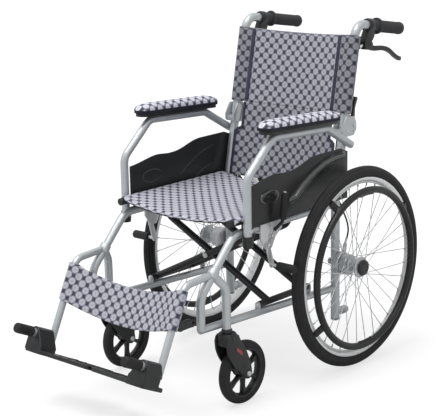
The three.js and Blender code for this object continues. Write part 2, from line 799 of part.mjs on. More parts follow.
function rearWheel() {
  const half = RIM_WIDTH / 2;
  const inner = RIM_SEAT_R - RIM_DEPTH;
  const rim = turnedX(
    [
      [RIM_OUTER_R, half],
      [RIM_OUTER_R - 7, half],
      [inner, half - 6],
      [inner, -half + 6],
      [RIM_OUTER_R - 7, -half],
      [RIM_OUTER_R, -half],
      [RIM_SEAT_R, -half + 4.5],
      [RIM_SEAT_R, half - 4.5],
      [RIM_OUTER_R, half],
    ],
    WHEEL_SIDES,
  );
  const a = HUB_INNER_X - WHEEL_X;
  const b = HUB_OUTER_X - WHEEL_X;
  const bore = AXLE_R + RUNNING_GAP;
  const hub = turnedX(
    [
      [bore, a],
      [bore, b],
      [HUB_BARREL_R + 3, b],
      [HUB_FLANGE_R, b - 4],
      [HUB_FLANGE_R, b - 9],
      [HUB_BARREL_R, b - 12],
      [HUB_BARREL_R, a + 26],
      [HUB_FLANGE_R, a + 22],
      [HUB_FLANGE_R, a],
      [bore, a],
    ],
    10,
  );
  const spokes = [];
  for (let i = 0; i < SPOKE_COUNT; i += 1) {
    const lean = Math.floor(i / 2) % 2 === 0 ? 1 : -1;
    const side = (i % 2 === 0 ? a + 20 : b - 6.5) + lean * SPOKE_APART;
    const rimAngle = (i * 2 * Math.PI) / SPOKE_COUNT;
    const hubAngle = rimAngle + lean * 1.05;
    const foot = at(side, Math.cos(hubAngle), Math.sin(hubAngle));
    const tip = at(0, Math.cos(rimAngle), Math.sin(rimAngle));
    foot.y *= HUB_FLANGE_R - 4;
    foot.z *= HUB_FLANGE_R - 4;
    tip.y *= inner + 2;
    tip.z *= inner + 2;
    spokes.push(rod(foot, tip, SPOKE_R, 3));
  }
  return join(rim, hub, ...spokes);
}

function pushRim() {
  const reach = PUSH_RIM_X - WHEEL_X;
  const section = polygon(PUSH_RIM_TUBE_R, 6, Math.PI / 6).getPoints();
  const profile = section.map((point) => [PUSH_RIM_R + point.x, reach + point.y]);
  profile.push(profile[0]);
  const ring = turnedX(profile, WHEEL_SIDES);
  const seat = RIM_WIDTH / 2 + SEAT_GAP;
  const tabs = [];
  for (let i = 0; i < STANDOFF_COUNT; i += 1) {
    const outline = new THREE.Shape([
      new THREE.Vector2(reach + 3, PUSH_RIM_R),
      new THREE.Vector2(reach - 6, PUSH_RIM_R),
      new THREE.Vector2(seat, RIM_OUTER_R - STANDOFF_FOOT),
      new THREE.Vector2(seat, RIM_OUTER_R - 1),
      new THREE.Vector2(seat + 5, RIM_OUTER_R - 1),
      new THREE.Vector2(reach + 3, PUSH_RIM_R + 8),
    ].reverse());
    const tab = new THREE.ExtrudeGeometry(outline, { depth: STANDOFF_WIDTH, bevelEnabled: false });
    tab.translate(0, 0, -STANDOFF_WIDTH / 2);
    tab.rotateX((i * 2 * Math.PI) / STANDOFF_COUNT + STANDOFF_TURN);
    tabs.push(tab);
  }
  return join(ring, ...tabs);
}

function rearAxle() {
  const inboard = FRAME_X - POST_R - SEAT_GAP;
  const shaft = rod(at(inboard - 8, 0, 0), at(HUB_OUTER_X + SIDE_GAP + 4, 0, 0), AXLE_R, 12);
  const nut = rod(at(inboard - 7, 0, 0), at(inboard, 0, 0), 10, 6);
  const start = HUB_OUTER_X + SIDE_GAP;
  const cap = turnedX(
    [[0, start], [HUB_CAP_R, start], [HUB_CAP_R, start + 4], [HUB_CAP_R - 6, start + HUB_CAP_DEPTH], [0, start + HUB_CAP_DEPTH]],
    12,
  );
  return join(shaft, nut, cap);
}

function hubBrake() {
  const inner = FRAME_X + POST_R + SEAT_GAP;
  const bore = AXLE_R + SEAT_GAP;
  const drum = turnedX(
    [
      [bore, inner],
      [bore, HUB_INNER_X - SIDE_GAP],
      [BRAKE_DRUM_R - 2, HUB_INNER_X - SIDE_GAP],
      [BRAKE_DRUM_R, HUB_INNER_X - SIDE_GAP - 3],
      [BRAKE_DRUM_R, inner + 5],
      [BRAKE_DRUM_R - 6, inner],
      [bore, inner],
    ],
    12,
  );
  const arm = new THREE.Shape();
  arm.moveTo(10, 14);
  arm.lineTo(22, 8);
  arm.lineTo(BRAKE_ARM_END[0] + 6, BRAKE_ARM_END[1] + 2);
  arm.lineTo(BRAKE_ARM_END[0] - 5, BRAKE_ARM_END[1] + 6);
  return join(drum, shapeX(arm, inner + 1, 5));
}

// Fold-down back

const CANE_FOOT = [leanY(POST_TOP_Z + SIDE_GAP), POST_TOP_Z + SIDE_GAP];
const CORNER_Y = leanY(HANDLE_CORNER_Z);
const handleAt = (y) => {
  const run = y - CORNER_Y;
  const share = run / (HANDLE_END_Y - CORNER_Y);
  return at(FRAME_X - HANDLE_TOE_IN * share, y, HANDLE_CORNER_Z - HANDLE_SLOPE * run);
};
const HANDLE_TIP = handleAt(HANDLE_END_Y);
const HANDLE_LINE = handleAt(CORNER_Y).sub(HANDLE_TIP).normalize();

function backCane() {
  const foot = at(FRAME_X, ...CANE_FOOT);
  const cane = tube(bent([foot, handleAt(CORNER_Y), HANDLE_TIP], HANDLE_BEND_R, 6), POST_R);
  const lug = new THREE.Shape();
  lug.absarc(HINGE_Y, HINGE_Z, HINGE_EYE_R, -Math.PI / 2, 0, false);
  lug.absarc(...RELEASE_PIVOT, 6, 0, Math.PI / 2, false);
  lug.lineTo(leanY(HINGE_Z + 34), HINGE_Z + 34);
  lug.lineTo(leanY(HINGE_Z), HINGE_Z - 3);
  const ear = shapeX(lug, FRAME_X - LUG_THICK / 2, LUG_THICK, 6);
  const releasePin = rod(
    at(FRAME_X, ...RELEASE_PIVOT),
    at(FRAME_X + LUG_THICK / 2 + RELEASE_THICK + 1.5, ...RELEASE_PIVOT),
    2.5,
    8,
  );
  const bore = hole(
    at(FRAME_X - LUG_THICK, HINGE_Y, HINGE_Z),
    at(FRAME_X + LUG_THICK, HINGE_Y, HINGE_Z),
    HINGE_PIN_R + RUNNING_GAP,
    12,
  );
  return cut(join(cane, ear, releasePin), bore);
}

function hingeBracket() {
  const inside = POST_R + SIDE_GAP;
  const outline = [
    [leanY(BRACKET_FOOT_Z) - POST_R - 8, BRACKET_FOOT_Z + 6],
    [leanY(BRACKET_FOOT_Z), BRACKET_FOOT_Z],
    [HINGE_Y - 2, BRACKET_FOOT_Z],
    [HINGE_Y + 11, HINGE_Z - 12],
    [HINGE_Y + 10, HINGE_Z + 8],
    [HINGE_Y + 1, BRACKET_TOP_Z - 4],
    [leanY(BRACKET_TOP_Z) - POST_R - 3, BRACKET_TOP_Z],
    [leanY(POST_TOP_Z) - POST_R - 16, POST_TOP_Z],
  ];
  const cheeks = [
    plateX(outline, FRAME_X - inside - BRACKET_WALL, BRACKET_WALL),
    plateX(outline, FRAME_X + inside, BRACKET_WALL),
  ];
  const outer = inside + BRACKET_WALL / 2;
  const frontWeb = box(
    FRAME_X - outer, FRAME_X + outer,
    leanY(BRACKET_FOOT_Z) - POST_R - 5, leanY(BRACKET_FOOT_Z) + 6,
    BRACKET_FOOT_Z + 4, POST_TOP_Z - 3,
  );
  const rearWeb = box(
    FRAME_X - outer, FRAME_X + outer,
    leanY(POST_TOP_Z) + 6, HINGE_Y - 2,
    BRACKET_FOOT_Z, HINGE_Z - HINGE_EYE_R - 3,
  );
  const pin = rod(
    at(FRAME_X - inside - BRACKET_WALL - 3, HINGE_Y, HINGE_Z),
    at(FRAME_X + inside + BRACKET_WALL + 3, HINGE_Y, HINGE_Z),
    HINGE_PIN_R,
    12,
  );
  const head = (x) => rod(at(x, HINGE_Y, HINGE_Z), at(x + 3, HINGE_Y, HINGE_Z), 7, 8);
  const whole = join(
    ...cheeks, frontWeb, rearWeb, pin,
    head(FRAME_X - inside - BRACKET_WALL - 3), head(FRAME_X + inside + BRACKET_WALL),
  );
  return cut(whole, tube(postPath(), POST_R + SEAT_GAP));
}

function releaseLever() {
  const [y, z] = RELEASE_PIVOT;
  const outline = new THREE.Shape();
  outline.absarc(y, z, 6.5, Math.PI * 0.8, Math.PI * 2, false);
  outline.lineTo(y + 8, z + 28);
  outline.lineTo(y + 17, z + 47);
  outline.absarc(y + 12, z + 52, 5.5, -0.3, Math.PI * 0.9, false);
  outline.lineTo(y + 1, z + 30);
  const x = FRAME_X + LUG_THICK / 2 + SEAT_GAP;
  const blade = shapeX(outline, x, RELEASE_THICK, 4);
  const knob = rod(at(x - 8, y + 12, z + 52), at(x + RELEASE_THICK + 1, y + 12, z + 52), 6, 10);
  const bore = hole(at(x - 1, y, z), at(x + RELEASE_THICK + 1, y, z), 2.5 + SEAT_GAP, 10);
  return cut(join(blade, knob), bore);
}

// Lays a piece that is turned about +Z from the origin along the push handle.
function onHandle(geometry, fromTip) {
  const turn = new THREE.Quaternion().setFromUnitVectors(at(0, 0, 1), HANDLE_LINE);
  geometry.applyQuaternion(turn);
  const place = HANDLE_TIP.clone().addScaledVector(HANDLE_LINE, fromTip);
  geometry.translate(place.x, place.y, place.z);
  return geometry;
}

function turnedZ(profile, sides) {
  const geometry = turned(profile, sides);
  geometry.rotateX(Math.PI / 2);
  return geometry;
}

function handGrip() {
  const bore = (POST_R + SEAT_GAP) / Math.cos(Math.PI / 10);
  const end = -SEAT_GAP - GRIP_END_WALL;
  return onHandle(
    turnedZ(
      [
        [0, end],
        [GRIP_R - 5, end],
        [GRIP_R + 1, end + 4],
        [GRIP_R + 1, end + 12],
        [GRIP_R, GRIP_LENGTH - 16],
        [GRIP_FLANGE_R, GRIP_LENGTH - 11],
        [GRIP_FLANGE_R, GRIP_LENGTH - 6],
        [bore + 2, GRIP_LENGTH - 5],
        [bore, GRIP_LENGTH - 5],
        [bore, -SEAT_GAP],
        [0, -SEAT_GAP],
      ],
      10,
    ),
    0,
  );
}

function brakeClamp() {
  const start = GRIP_LENGTH - 5 + CLAMP_TO_GRIP;
  const bore = (POST_R + SEAT_GAP) / Math.cos(Math.PI / 10);
  const ring = onHandle(
    turnedZ(
      [
        [bore, 0],
        [CLAMP_R - 2, 0],
        [CLAMP_R, 3],
        [CLAMP_R, CLAMP_LENGTH - 3],
        [CLAMP_R - 2, CLAMP_LENGTH],
        [bore, CLAMP_LENGTH],
        [bore, 0],
      ],
      10,
    ),
    start,
  );
  const middle = HANDLE_TIP.clone().addScaledVector(HANDLE_LINE, start + CLAMP_LENGTH / 2);
  const [y, z] = LEVER_PIVOT;
  const arm = new THREE.Shape();
  arm.moveTo(middle.y - 13, middle.z - 12);
  arm.lineTo(y - 24, z + 16);
  arm.quadraticCurveTo(y - 30, z - 2, y - 20, z - 11);
  arm.lineTo(y - 4, z - 12);
  arm.absarc(y, z, 11, -Math.PI / 2, Math.PI / 3, false);
  arm.quadraticCurveTo(middle.y + 20, z + 24, middle.y + 14, middle.z - 12);
  const x = middle.x - BRACKET_ARM_THICK / 2;
  const body = shapeX(arm, x, BRACKET_ARM_THICK, 5);
  const slot = box(
    middle.x - LEVER_THICK / 2 - SIDE_GAP,
    middle.x + LEVER_THICK / 2 + SIDE_GAP,
    y - 13,
    y + 40,
    z - 30,
    z + 15,
  );
  const pin = rod(at(x - 1, y, z), at(x + BRACKET_ARM_THICK + 1, y, z), 3, 8);
  const handleClear = tube(
    new StationPath([middle.clone().addScaledVector(HANDLE_LINE, 60), middle.clone().addScaledVector(HANDLE_LINE, -60)]),
    bore + 2,
    8,
  );
  return join(cut(body, slot, handleClear), ring, pin);
}

function brakeLever() {
  const middle = handleAt(LEVER_PIVOT[0]);
  const [y, z] = LEVER_PIVOT;
  const outline = new THREE.Shape();
  outline.moveTo(y - 6, z - 7);
  outline.quadraticCurveTo(y + 8, z - 20, y + 40, z - 20);
  outline.quadraticCurveTo(y + 78, z - 20, y + 106, z - 36);
  outline.quadraticCurveTo(y + 128, z - 52, y + 148, z - 60);
  outline.absarc(y + 150, z - 54, 6, -Math.PI * 0.6, Math.PI * 0.55, false);
  outline.quadraticCurveTo(y + 128, z - 40, y + 112, z - 27);
  outline.quadraticCurveTo(y + 86, z - 8, y + 44, z - 7);
  outline.quadraticCurveTo(y + 20, z - 7, y + 9, z + 3);
  outline.absarc(y, z, 9, 0.3, Math.PI * 1.2, false);
  const blade = shapeX(outline, middle.x - LEVER_THICK / 2, LEVER_THICK, 4);
  const bore = hole(at(middle.x - LEVER_THICK, y, z), at(middle.x + LEVER_THICK, y, z), 3 + SEAT_GAP, 10);
  return cut(blade, bore);
}

// From the lever bracket down inboard of the cane and the post, then behind the axle to the hub brake.
function brakeCable() {
  const [y, z] = LEVER_PIVOT;
  const root = handleAt(y).x;
  const brakeX = FRAME_X + POST_R + SEAT_GAP + 3.5;
  const points = [
    at(root, y - 28, z + 1),
    at(root - 3, y - 41, z - 8),
    at(CABLE_X + 6, y - 50, z - 36),
    ...CABLE_HEIGHTS.map((height) => at(CABLE_X, leanY(height) + CABLE_BEHIND, height)),
    ...CABLE_TAIL.map(([outboard, back, height]) => at(CABLE_X + outboard, back, height)),
    at(brakeX, BRAKE_ARM_END[0] + 10, BRAKE_ARM_END[1] + AXLE_Z + 24),
    at(brakeX, BRAKE_ARM_END[0], BRAKE_ARM_END[1] + AXLE_Z + 5),
  ];
  const curve = new THREE.CatmullRomCurve3(points, false, 'centripetal');
  return tube(new StationPath(curve.getSpacedPoints(17)), CABLE_R, 6);
}

// Parking brake

function parkBracket() {
  const inner = FRAME_X + TUBE_R + SEAT_GAP;
  const [y, z] = PARK_PIVOT;
  const plate = plateX(
    [
      [y - 40, z - 4],
      [y - 20, z - 34],
      [y + 4, z - 34],
      [y + 20, z - 6],
      [y + 46, z + 12],
      [y + 46, SEAT_TUBE_Z + 10],
      [y - 40, SEAT_TUBE_Z + 10],
    ],
    inner,
    PARK_PLATE_THICK,
  );
  const saddle = cut(
    box(FRAME_X - TUBE_R / 2, inner + 1, y - 34, y + 40, SEAT_TUBE_Z - TUBE_R - 4, SEAT_TUBE_Z + 4),
    hole(at(FRAME_X, y - 60, SEAT_TUBE_Z), at(FRAME_X, y + 60, SEAT_TUBE_Z), TUBE_R + SEAT_GAP, 12),
  );
  const outer = inner + PARK_PLATE_THICK + SEAT_GAP;
  const leverPin = rod(at(inner + 1, y, z), at(outer + PARK_PLATE_THICK + 3, y, z), PARK_PIN_R, 10);
  const armPin = rod(
    at(inner + 1, ...PARK_ARM_PIVOT),
    at(outer + PARK_PLATE_THICK + 3, ...PARK_ARM_PIVOT),
    PARK_PIN_R,
    10,
  );
  return join(plate, saddle, leverPin, armPin);
}

function parkLever() {
  const [y, z] = PARK_PIVOT;
  const inner = FRAME_X + TUBE_R + 2 * SEAT_GAP + PARK_PLATE_THICK;
  const blade = new THREE.Shape();
  blade.absarc(y, z, 9, Math.PI, Math.PI * 1.9, false);
  blade.lineTo(y + 18, z + 20);
  blade.lineTo(y + 6, z + 25);
  const plate = shapeX(blade, inner, PARK_PLATE_THICK, 5);
  const bore = hole(at(inner - 1, y, z), at(inner + PARK_PLATE_THICK + 1, y, z), PARK_PIN_R + SEAT_GAP, 12);
  const shaft = tube(
    bent(
      [
        at(inner + PARK_SHAFT_R + SEAT_GAP, y + 10, z + 14),
        at(PARK_HANDLE_X, y + 14, z + 38),
        at(PARK_HANDLE_X, PARK_HANDLE_TOP[0] - 2, PARK_HANDLE_TOP[1] - 20),
      ],
      8,
      2,
    ),
    PARK_SHAFT_R,
    6,
  );
  const sleeve = tube(
    new StationPath([
      at(PARK_HANDLE_X, y + 16, z + 44),
      at(PARK_HANDLE_X, PARK_HANDLE_TOP[0], PARK_HANDLE_TOP[1] - 5),
      at(PARK_HANDLE_X, PARK_HANDLE_TOP[0], PARK_HANDLE_TOP[1]),
    ]),
    PARK_HANDLE_R,
    10,
  );
  return join(cut(plate, bore), shaft, sleeve);
}

function parkArm() {
  const [y, z] = PARK_ARM_PIVOT;
  const inner = FRAME_X + TUBE_R + 2 * SEAT_GAP + PARK_PLATE_THICK;
  const outline = new THREE.Shape();
  outline.absarc(y, z, 8, 0.3, Math.PI * 1.05, false);
  outline.lineTo(PARK_ROLLER[0] - 8, PARK_ROLLER[1] - 2);
  outline.absarc(PARK_ROLLER[0], PARK_ROLLER[1], 8, Math.PI * 1.1, Math.PI * 2.1, false);
  const plate = shapeX(outline, inner, PARK_PLATE_THICK, 5);
  const bore = hole(at(inner - 1, y, z), at(inner + PARK_PLATE_THICK + 1, y, z), PARK_PIN_R + SEAT_GAP, 12);
  const rollerX = inner + PARK_PLATE_THICK + PARK_STUB_LENGTH;
  const stub = rod(at(inner + 1, ...PARK_ROLLER), at(rollerX + 1, ...PARK_ROLLER), PARK_SHAFT_R, 10);
  const roller = rod(
    at(rollerX, ...PARK_ROLLER),
    at(rollerX + PARK_ROLLER_LENGTH, ...PARK_ROLLER),
    PARK_ROLLER_R,
    12,
  );
  return join(cut(plate, bore), stub, roller);
}

// Cross brace: two bars, the pivot tube under them and the seat rail on top, from -x low to +x high

function crossBrace(shift, boltSide) {
  const bars = [BRACE_FRONT_Y, BRACE_REAR_Y].map((place) => {
    const y = place + shift;
    return tube(
      bent(
        [
          at(-FRAME_X, y, BRACE_PIVOT_Z),
          at(BRACE_BEND_X, y, BRACE_CENTRE_Z + BRACE_SLOPE * BRACE_BEND_X),
          at(FRAME_X - BRACE_TOP_INSET, y, SEAT_RAIL_Z),
        ],
        30,
        2,
      ),
      BRACE_R,
    );
  });
  const pivotTube = rod(
    at(-FRAME_X, BRACE_TUBE_FRONT_Y, BRACE_PIVOT_Z),
    at(-FRAME_X, BRACE_TUBE_REAR_Y, BRACE_PIVOT_Z),
    BRACE_ROD_R + RUNNING_GAP + 3.4,
  );
  const pivotBore = hole(
    at(-FRAME_X, BRACE_TUBE_FRONT_Y - 1, BRACE_PIVOT_Z),
    at(-FRAME_X, BRACE_TUBE_REAR_Y + 1, BRACE_PIVOT_Z),
    BRACE_ROD_R + RUNNING_GAP,
  );
  const rail = rod(
    at(FRAME_X, SEAT_RAIL_FRONT_Y, SEAT_RAIL_Z),
    at(FRAME_X, SEAT_RAIL_REAR_Y, SEAT_RAIL_Z),
    SEAT_RAIL_R,
  );
  const bolts = [BRACE_FRONT_Y, BRACE_REAR_Y].map((place) => {
    const half = BRACE_STEP / 2 + BRACE_R;
    if (boltSide) {
      const shaft = rod(at(0, place - half - 2, BRACE_CENTRE_Z), at(0, place + half + 6, BRACE_CENTRE_Z), BRACE_BOLT_R);
      const head = rod(at(0, place - half - 4, BRACE_CENTRE_Z), at(0, place - half + 1, BRACE_CENTRE_Z), 8, 6);
      const nut = rod(at(0, place + half + 1, BRACE_CENTRE_Z), at(0, place + half + 6, BRACE_CENTRE_Z), 8, 6);
      return join(shaft, head, nut);
    }
    return hole(
      at(0, place - half, BRACE_CENTRE_Z),
      at(0, place + half + 2, BRACE_CENTRE_Z),
      BRACE_BOLT_R + RUNNING_GAP,
    );
  });
  const brace = cut(join(...bars, pivotTube, rail), pivotBore);
  return boltSide ? join(brace, ...bolts) : cut(brace, ...bolts);
}

// Upholstery

// A panel slung between two upright tubes, with a sleeve round each, seen from above.
function slungOutline(halfSpan, tubeR, sag) {
  const outer = tubeR + SLEEVE_GAP + CLOTH;
  const leave = Math.PI * 1.22;
  const shape = new THREE.Shape();
  const front = (x) => -outer + sag * (1 - (x / halfSpan) ** 2);
  const steps = 8;
  shape.moveTo(halfSpan, -outer);
  shape.absarc(halfSpan, 0, outer, -Math.PI / 2, leave - 0.05, false);
  for (let i = 1; i < steps * 2; i += 1) {
    const x = (halfSpan - outer - 3) * (1 - i / steps);
    shape.lineTo(x, front(x) + CLOTH);
  }
  shape.absarc(-halfSpan, 0, outer, Math.PI - leave + 0.05, Math.PI * 1.5, false);
  for (let i = 1; i < steps * 2; i += 1) {
    const x = -halfSpan * (1 - i / steps);
    shape.lineTo(x, front(x));
  }
  [-halfSpan, halfSpan].forEach((x) => shape.holes.push(circleHole(x, 0, tubeR + SLEEVE_GAP, 12)));
  return shape;
}

function backUpper() {
  const lean = Math.atan(BACK_LEAN);
  const height = (BACK_TOP_Z - BACK_LOW_Z) / Math.cos(lean);
  const panel = new THREE.ExtrudeGeometry(slungOutline(FRAME_X, POST_R, BACK_SAG), {
    depth: height,
    bevelEnabled: false,
    curveSegments: 9,
  });
  panel.rotateX(-lean);
  panel.translate(0, leanY(BACK_LOW_Z), BACK_LOW_Z);
  return panel;
}

function backLower() {
  const outer = POST_R + SLEEVE_GAP + CLOTH;
  const front = (x) => -outer + BACK_SAG * (1 - (x / FRAME_X) ** 2);
  const steps = 8;
  const shape = new THREE.Shape();
  for (let i = 0; i <= steps; i += 1) {
    const x = -LOWER_BACK_HALF * (1 - (2 * i) / steps);
    shape.lineTo(x, front(x));
  }
  for (let i = 0; i <= steps; i += 1) {
    const x = LOWER_BACK_HALF * (1 - (2 * i) / steps);
    shape.lineTo(x, front(x) + CLOTH);
  }
  shape.curves.shift();
  const lean = Math.atan(BACK_LEAN);
  const height = (BACK_LOW_Z - SEAT_GAP - LOWER_BACK_FOOT_Z) / Math.cos(lean);
  const panel = new THREE.ExtrudeGeometry(shape, { depth: height, bevelEnabled: false });
  panel.rotateX(-lean);
  panel.translate(0, leanY(LOWER_BACK_FOOT_Z), LOWER_BACK_FOOT_Z);
  return panel;
}

function calfStrap() {
  const strap = new THREE.ExtrudeGeometry(slungOutline(FRAME_X, LEG_R, STRAP_SAG), {
    depth: STRAP_TOP - STRAP_FOOT,
    bevelEnabled: false,
    curveSegments: 9,
  });
  strap.translate(0, 0, STRAP_FOOT);
  return strap;
}

function seatSling() {
  const inner = SEAT_RAIL_R + SLING_GAP;
  const outer = inner + SLING;
  const sag = (x) => SEAT_RAIL_Z + outer - SEAT_SAG * (1 - (x / FRAME_X) ** 2);
  const steps = 12;
  const lap = [0.35, 0.75, 1.15];
  const shape = new THREE.Shape();
  shape.moveTo(-FRAME_X - outer, SEAT_RAIL_Z - 1);
  lap.forEach((a) => shape.lineTo(-FRAME_X - outer * Math.cos(a), SEAT_RAIL_Z + outer * Math.sin(a)));
  for (let i = 0; i <= steps; i += 1) {
    const x = -FRAME_X * (1 - (2 * i) / steps);
    shape.lineTo(x, sag(x));
  }
  lap.toReversed().forEach((a) => shape.lineTo(FRAME_X + outer * Math.cos(a), SEAT_RAIL_Z + outer * Math.sin(a)));
  shape.lineTo(FRAME_X + outer, SEAT_RAIL_Z - 1);
  shape.lineTo(FRAME_X + inner, SEAT_RAIL_Z - 1);
  lap.forEach((a) => shape.lineTo(FRAME_X + inner * Math.cos(a), SEAT_RAIL_Z + inner * Math.sin(a)));
  for (let i = 0; i <= steps; i += 1) {
    const x = FRAME_X * (1 - (2 * i) / steps);
    shape.lineTo(x, sag(x) - SLING);
  }
  lap.toReversed().forEach((a) => shape.lineTo(-FRAME_X - inner * Math.cos(a), SEAT_RAIL_Z + inner * Math.sin(a)));
  shape.lineTo(-FRAME_X - inner, SEAT_RAIL_Z - 1);
  const sling = new THREE.ExtrudeGeometry(shape, {
    depth: SEAT_REAR_Y - SEAT_FRONT_Y,
    bevelEnabled: false,
  });
  sling.rotateX(Math.PI / 2);
  sling.translate(0, SEAT_REAR_Y, 0);
  return sling;
}

// One side of the chair, laid out on the user's left

function side(prefix) {
  const group = new THREE.Group();
  const add = (name, geometry, finish) => {
    const mesh = piece(`${prefix}_${name}`, geometry, finish);
    group.add(mesh);
    return mesh;
  };
  add('front_frame', shapes.frontFrame, FINISH.silver);
  add('lower_rail', shapes.lowerRail, FINISH.silver);
  add('rear_post', shapes.rearPost, FINISH.silver);
  add('armrest_tube', shapes.armrestTube, FINISH.silver);
  add('arm_pad_base', shapes.armBase, FINISH.black);
  add('arm_pad', shapes.armPad, FINISH.cloth);
  add('skirt_guard', shapes.skirtGuard, FINISH.black);
  add('legrest', shapes.legRest, FINISH.silver);
  add('brake_bracket', shapes.parkBracket, FINISH.silver);
  add('brake_lever', shapes.parkLever, FINISH.black);
  add('brake_shoe', shapes.parkArm, FINISH.black);
  add('hinge_bracket', shapes.hingeBracket, FINISH.silver);
  add('back_cane', shapes.backCane, FINISH.silver);
  add('release_lever', shapes.releaseLever, FINISH.black);
  add('hand_grip', shapes.handGrip, FINISH.black);
  add('hand_brake_clamp', shapes.brakeClamp, FINISH.black);
  add('hand_brake_lever', shapes.brakeLever, FINISH.black);
  add('brake_cable', shapes.brakeCable, FINISH.black);

  const foot = new THREE.Group();
  foot.position.set(0, ...FOOT_PIVOT);
  foot.rotation.x = -LEG_TILT;
  foot.add(piece(`${prefix}_footplate`, shapes.footplate, FINISH.black));
  foot.add(piece(`${prefix}_footrest_cap`, shapes.footCap, FINISH.black));
  group.add(foot);

  const caster = new THREE.Group();
  caster.position.set(CASTER_X, CASTER_STEM_Y, 0);
  caster.add(piece(`${prefix}_caster_fork`, shapes.casterFork, FINISH.black));
  const wheel = piece(`${prefix}_caster_wheel`, shapes.casterWheel, FINISH.tyre);
  wheel.position.set(0, CASTER_TRAIL, CASTER_Z);
  caster.add(wheel);
  group.add(caster);

  const axle = new THREE.Group();
  axle.position.set(0, 0, AXLE_Z);
  axle.add(piece(`${prefix}_rear_axle`, shapes.rearAxle, FINISH.black));
  axle.add(piece(`${prefix}_hub_brake`, shapes.hubBrake, FINISH.steel));
  const rolling = new THREE.Group();
  rolling.position.x = WHEEL_X;
  rolling.add(piece(`${prefix}_rear_tyre`, shapes.rearTyre, FINISH.tyre));
  rolling.add(piece(`${prefix}_rear_wheel`, shapes.rearWheel, FINISH.silver));
  rolling.add(piece(`${prefix}_push_rim`, shapes.pushRim, FINISH.black));
  axle.add(rolling);
  group.add(axle);
  return group;
}

const shapes = {
  frontFrame: frontFrame(),
  lowerRail: lowerRail(),
  rearPost: rearPost(),
  armrestTube: armrestTube(),
  armBase: armBase(),
  armPad: armPad(),
  skirtGuard: skirtGuard(),
  legRest: legRest(),
  footCap: footCap(),
  footplate: footplate(),
  casterFork: casterFork(),
  casterWheel: casterWheel(),
  rearTyre: rearTyre(),
  rearWheel: rearWheel(),
  pushRim: pushRim(),
  rearAxle: rearAxle(),
  hubBrake: hubBrake(),
  backCane: backCane(),
  hingeBracket: hingeBracket(),
  releaseLever: releaseLever(),
  handGrip: handGrip(),
  brakeClamp: brakeClamp(),
  brakeLever: brakeLever(),
  brakeCable: brakeCable(),
  parkBracket: parkBracket(),
  parkLever: parkLever(),
  parkArm: parkArm(),
};

const chair = new THREE.Group();
const left = side('left');
const right = side('right');
right.scale.x = -1;
const braceA = piece('cross_brace_a', crossBrace(-BRACE_STEP / 2, true), FINISH.blackTube);
const braceB = piece('cross_brace_b', crossBrace(BRACE_STEP / 2, false), FINISH.blackTube);
braceB.scale.x = -1;
const strap = piece('calf_strap', calfStrap(), FINISH.cloth);
strap.position.set(0, ...FOOT_PIVOT);
strap.rotation.x = -LEG_TILT;
const seat = piece('seat_sling', seatSling(), FINISH.cloth);
const upper = piece('back_upper', backUpper(), FINISH.cloth);
const lower = piece('back_lower', backLower(), FINISH.cloth);
chair.add(left, right, braceA, braceB, seat, upper, lower, strap);

// The origin is on the floor, under the middle of the whole chair.
chair.updateMatrixWorld(true);
const extent = new THREE.Box3().setFromObject(chair, true);
chair.position.y = -(extent.min.y + extent.max.y) / 2;

export default chair;
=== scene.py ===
"""Looks of a folding wheelchair: tubes, wheels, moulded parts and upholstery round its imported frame.

Metres, +Z up. The user faces -Y and the user's left is +X.
"""

import json
import math

import bpy
from mathutils import Matrix, Vector


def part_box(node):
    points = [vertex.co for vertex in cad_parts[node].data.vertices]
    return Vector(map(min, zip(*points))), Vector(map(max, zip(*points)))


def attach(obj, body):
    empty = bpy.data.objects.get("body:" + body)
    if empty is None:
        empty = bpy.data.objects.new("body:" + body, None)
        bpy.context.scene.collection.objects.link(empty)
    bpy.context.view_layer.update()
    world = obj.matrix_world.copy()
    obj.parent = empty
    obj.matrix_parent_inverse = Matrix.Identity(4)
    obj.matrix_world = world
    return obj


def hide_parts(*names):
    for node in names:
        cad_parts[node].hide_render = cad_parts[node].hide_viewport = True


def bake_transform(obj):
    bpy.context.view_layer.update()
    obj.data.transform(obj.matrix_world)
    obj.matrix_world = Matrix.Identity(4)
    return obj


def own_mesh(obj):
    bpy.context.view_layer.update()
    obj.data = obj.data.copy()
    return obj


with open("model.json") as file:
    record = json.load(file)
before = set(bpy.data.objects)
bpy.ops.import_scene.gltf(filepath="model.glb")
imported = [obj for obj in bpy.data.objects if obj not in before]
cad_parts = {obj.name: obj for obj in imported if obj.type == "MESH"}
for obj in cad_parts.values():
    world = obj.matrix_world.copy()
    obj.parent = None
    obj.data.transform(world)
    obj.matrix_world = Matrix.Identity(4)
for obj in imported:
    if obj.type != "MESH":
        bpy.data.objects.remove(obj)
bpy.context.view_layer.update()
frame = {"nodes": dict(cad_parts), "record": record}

bl_info = {
    "name": "Folding wheelchair",
    "version": (1, 0, 0),
    "blender": (4, 5, 0),
    "location": "View3D > Sidebar > Wheelchair",
    "description": "Models and finishes a folding wheelchair round its frame",
    "category": "Object",
}


X = Vector((1, 0, 0))
Y = Vector((0, 1, 0))
Z = Vector((0, 0, 1))
SIDES = (("left", 1), ("right", -1))


# Places and limits taken from the frame


def middle(node):
    """The middle of a frame node's box."""
    low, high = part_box(node)
    return (Vector(low) + Vector(high)) / 2


AXLE_Y = middle("left_rear_tyre").y
AXLE_Z = middle("left_rear_tyre").z
WHEEL_X = middle("left_rear_tyre").x
FRAME_X = middle("left_rear_post").x
ARM_X = middle("left_armrest_tube").x
CASTER_X = middle("left_caster_wheel").x
CASTER_Z = middle("left_caster_wheel").z
CASTER_Y = middle("left_caster_wheel").y - AXLE_Y


def at(x, y, z):
    """A place with y counted from the rear axle."""
    return Vector((x, AXLE_Y + y, z))


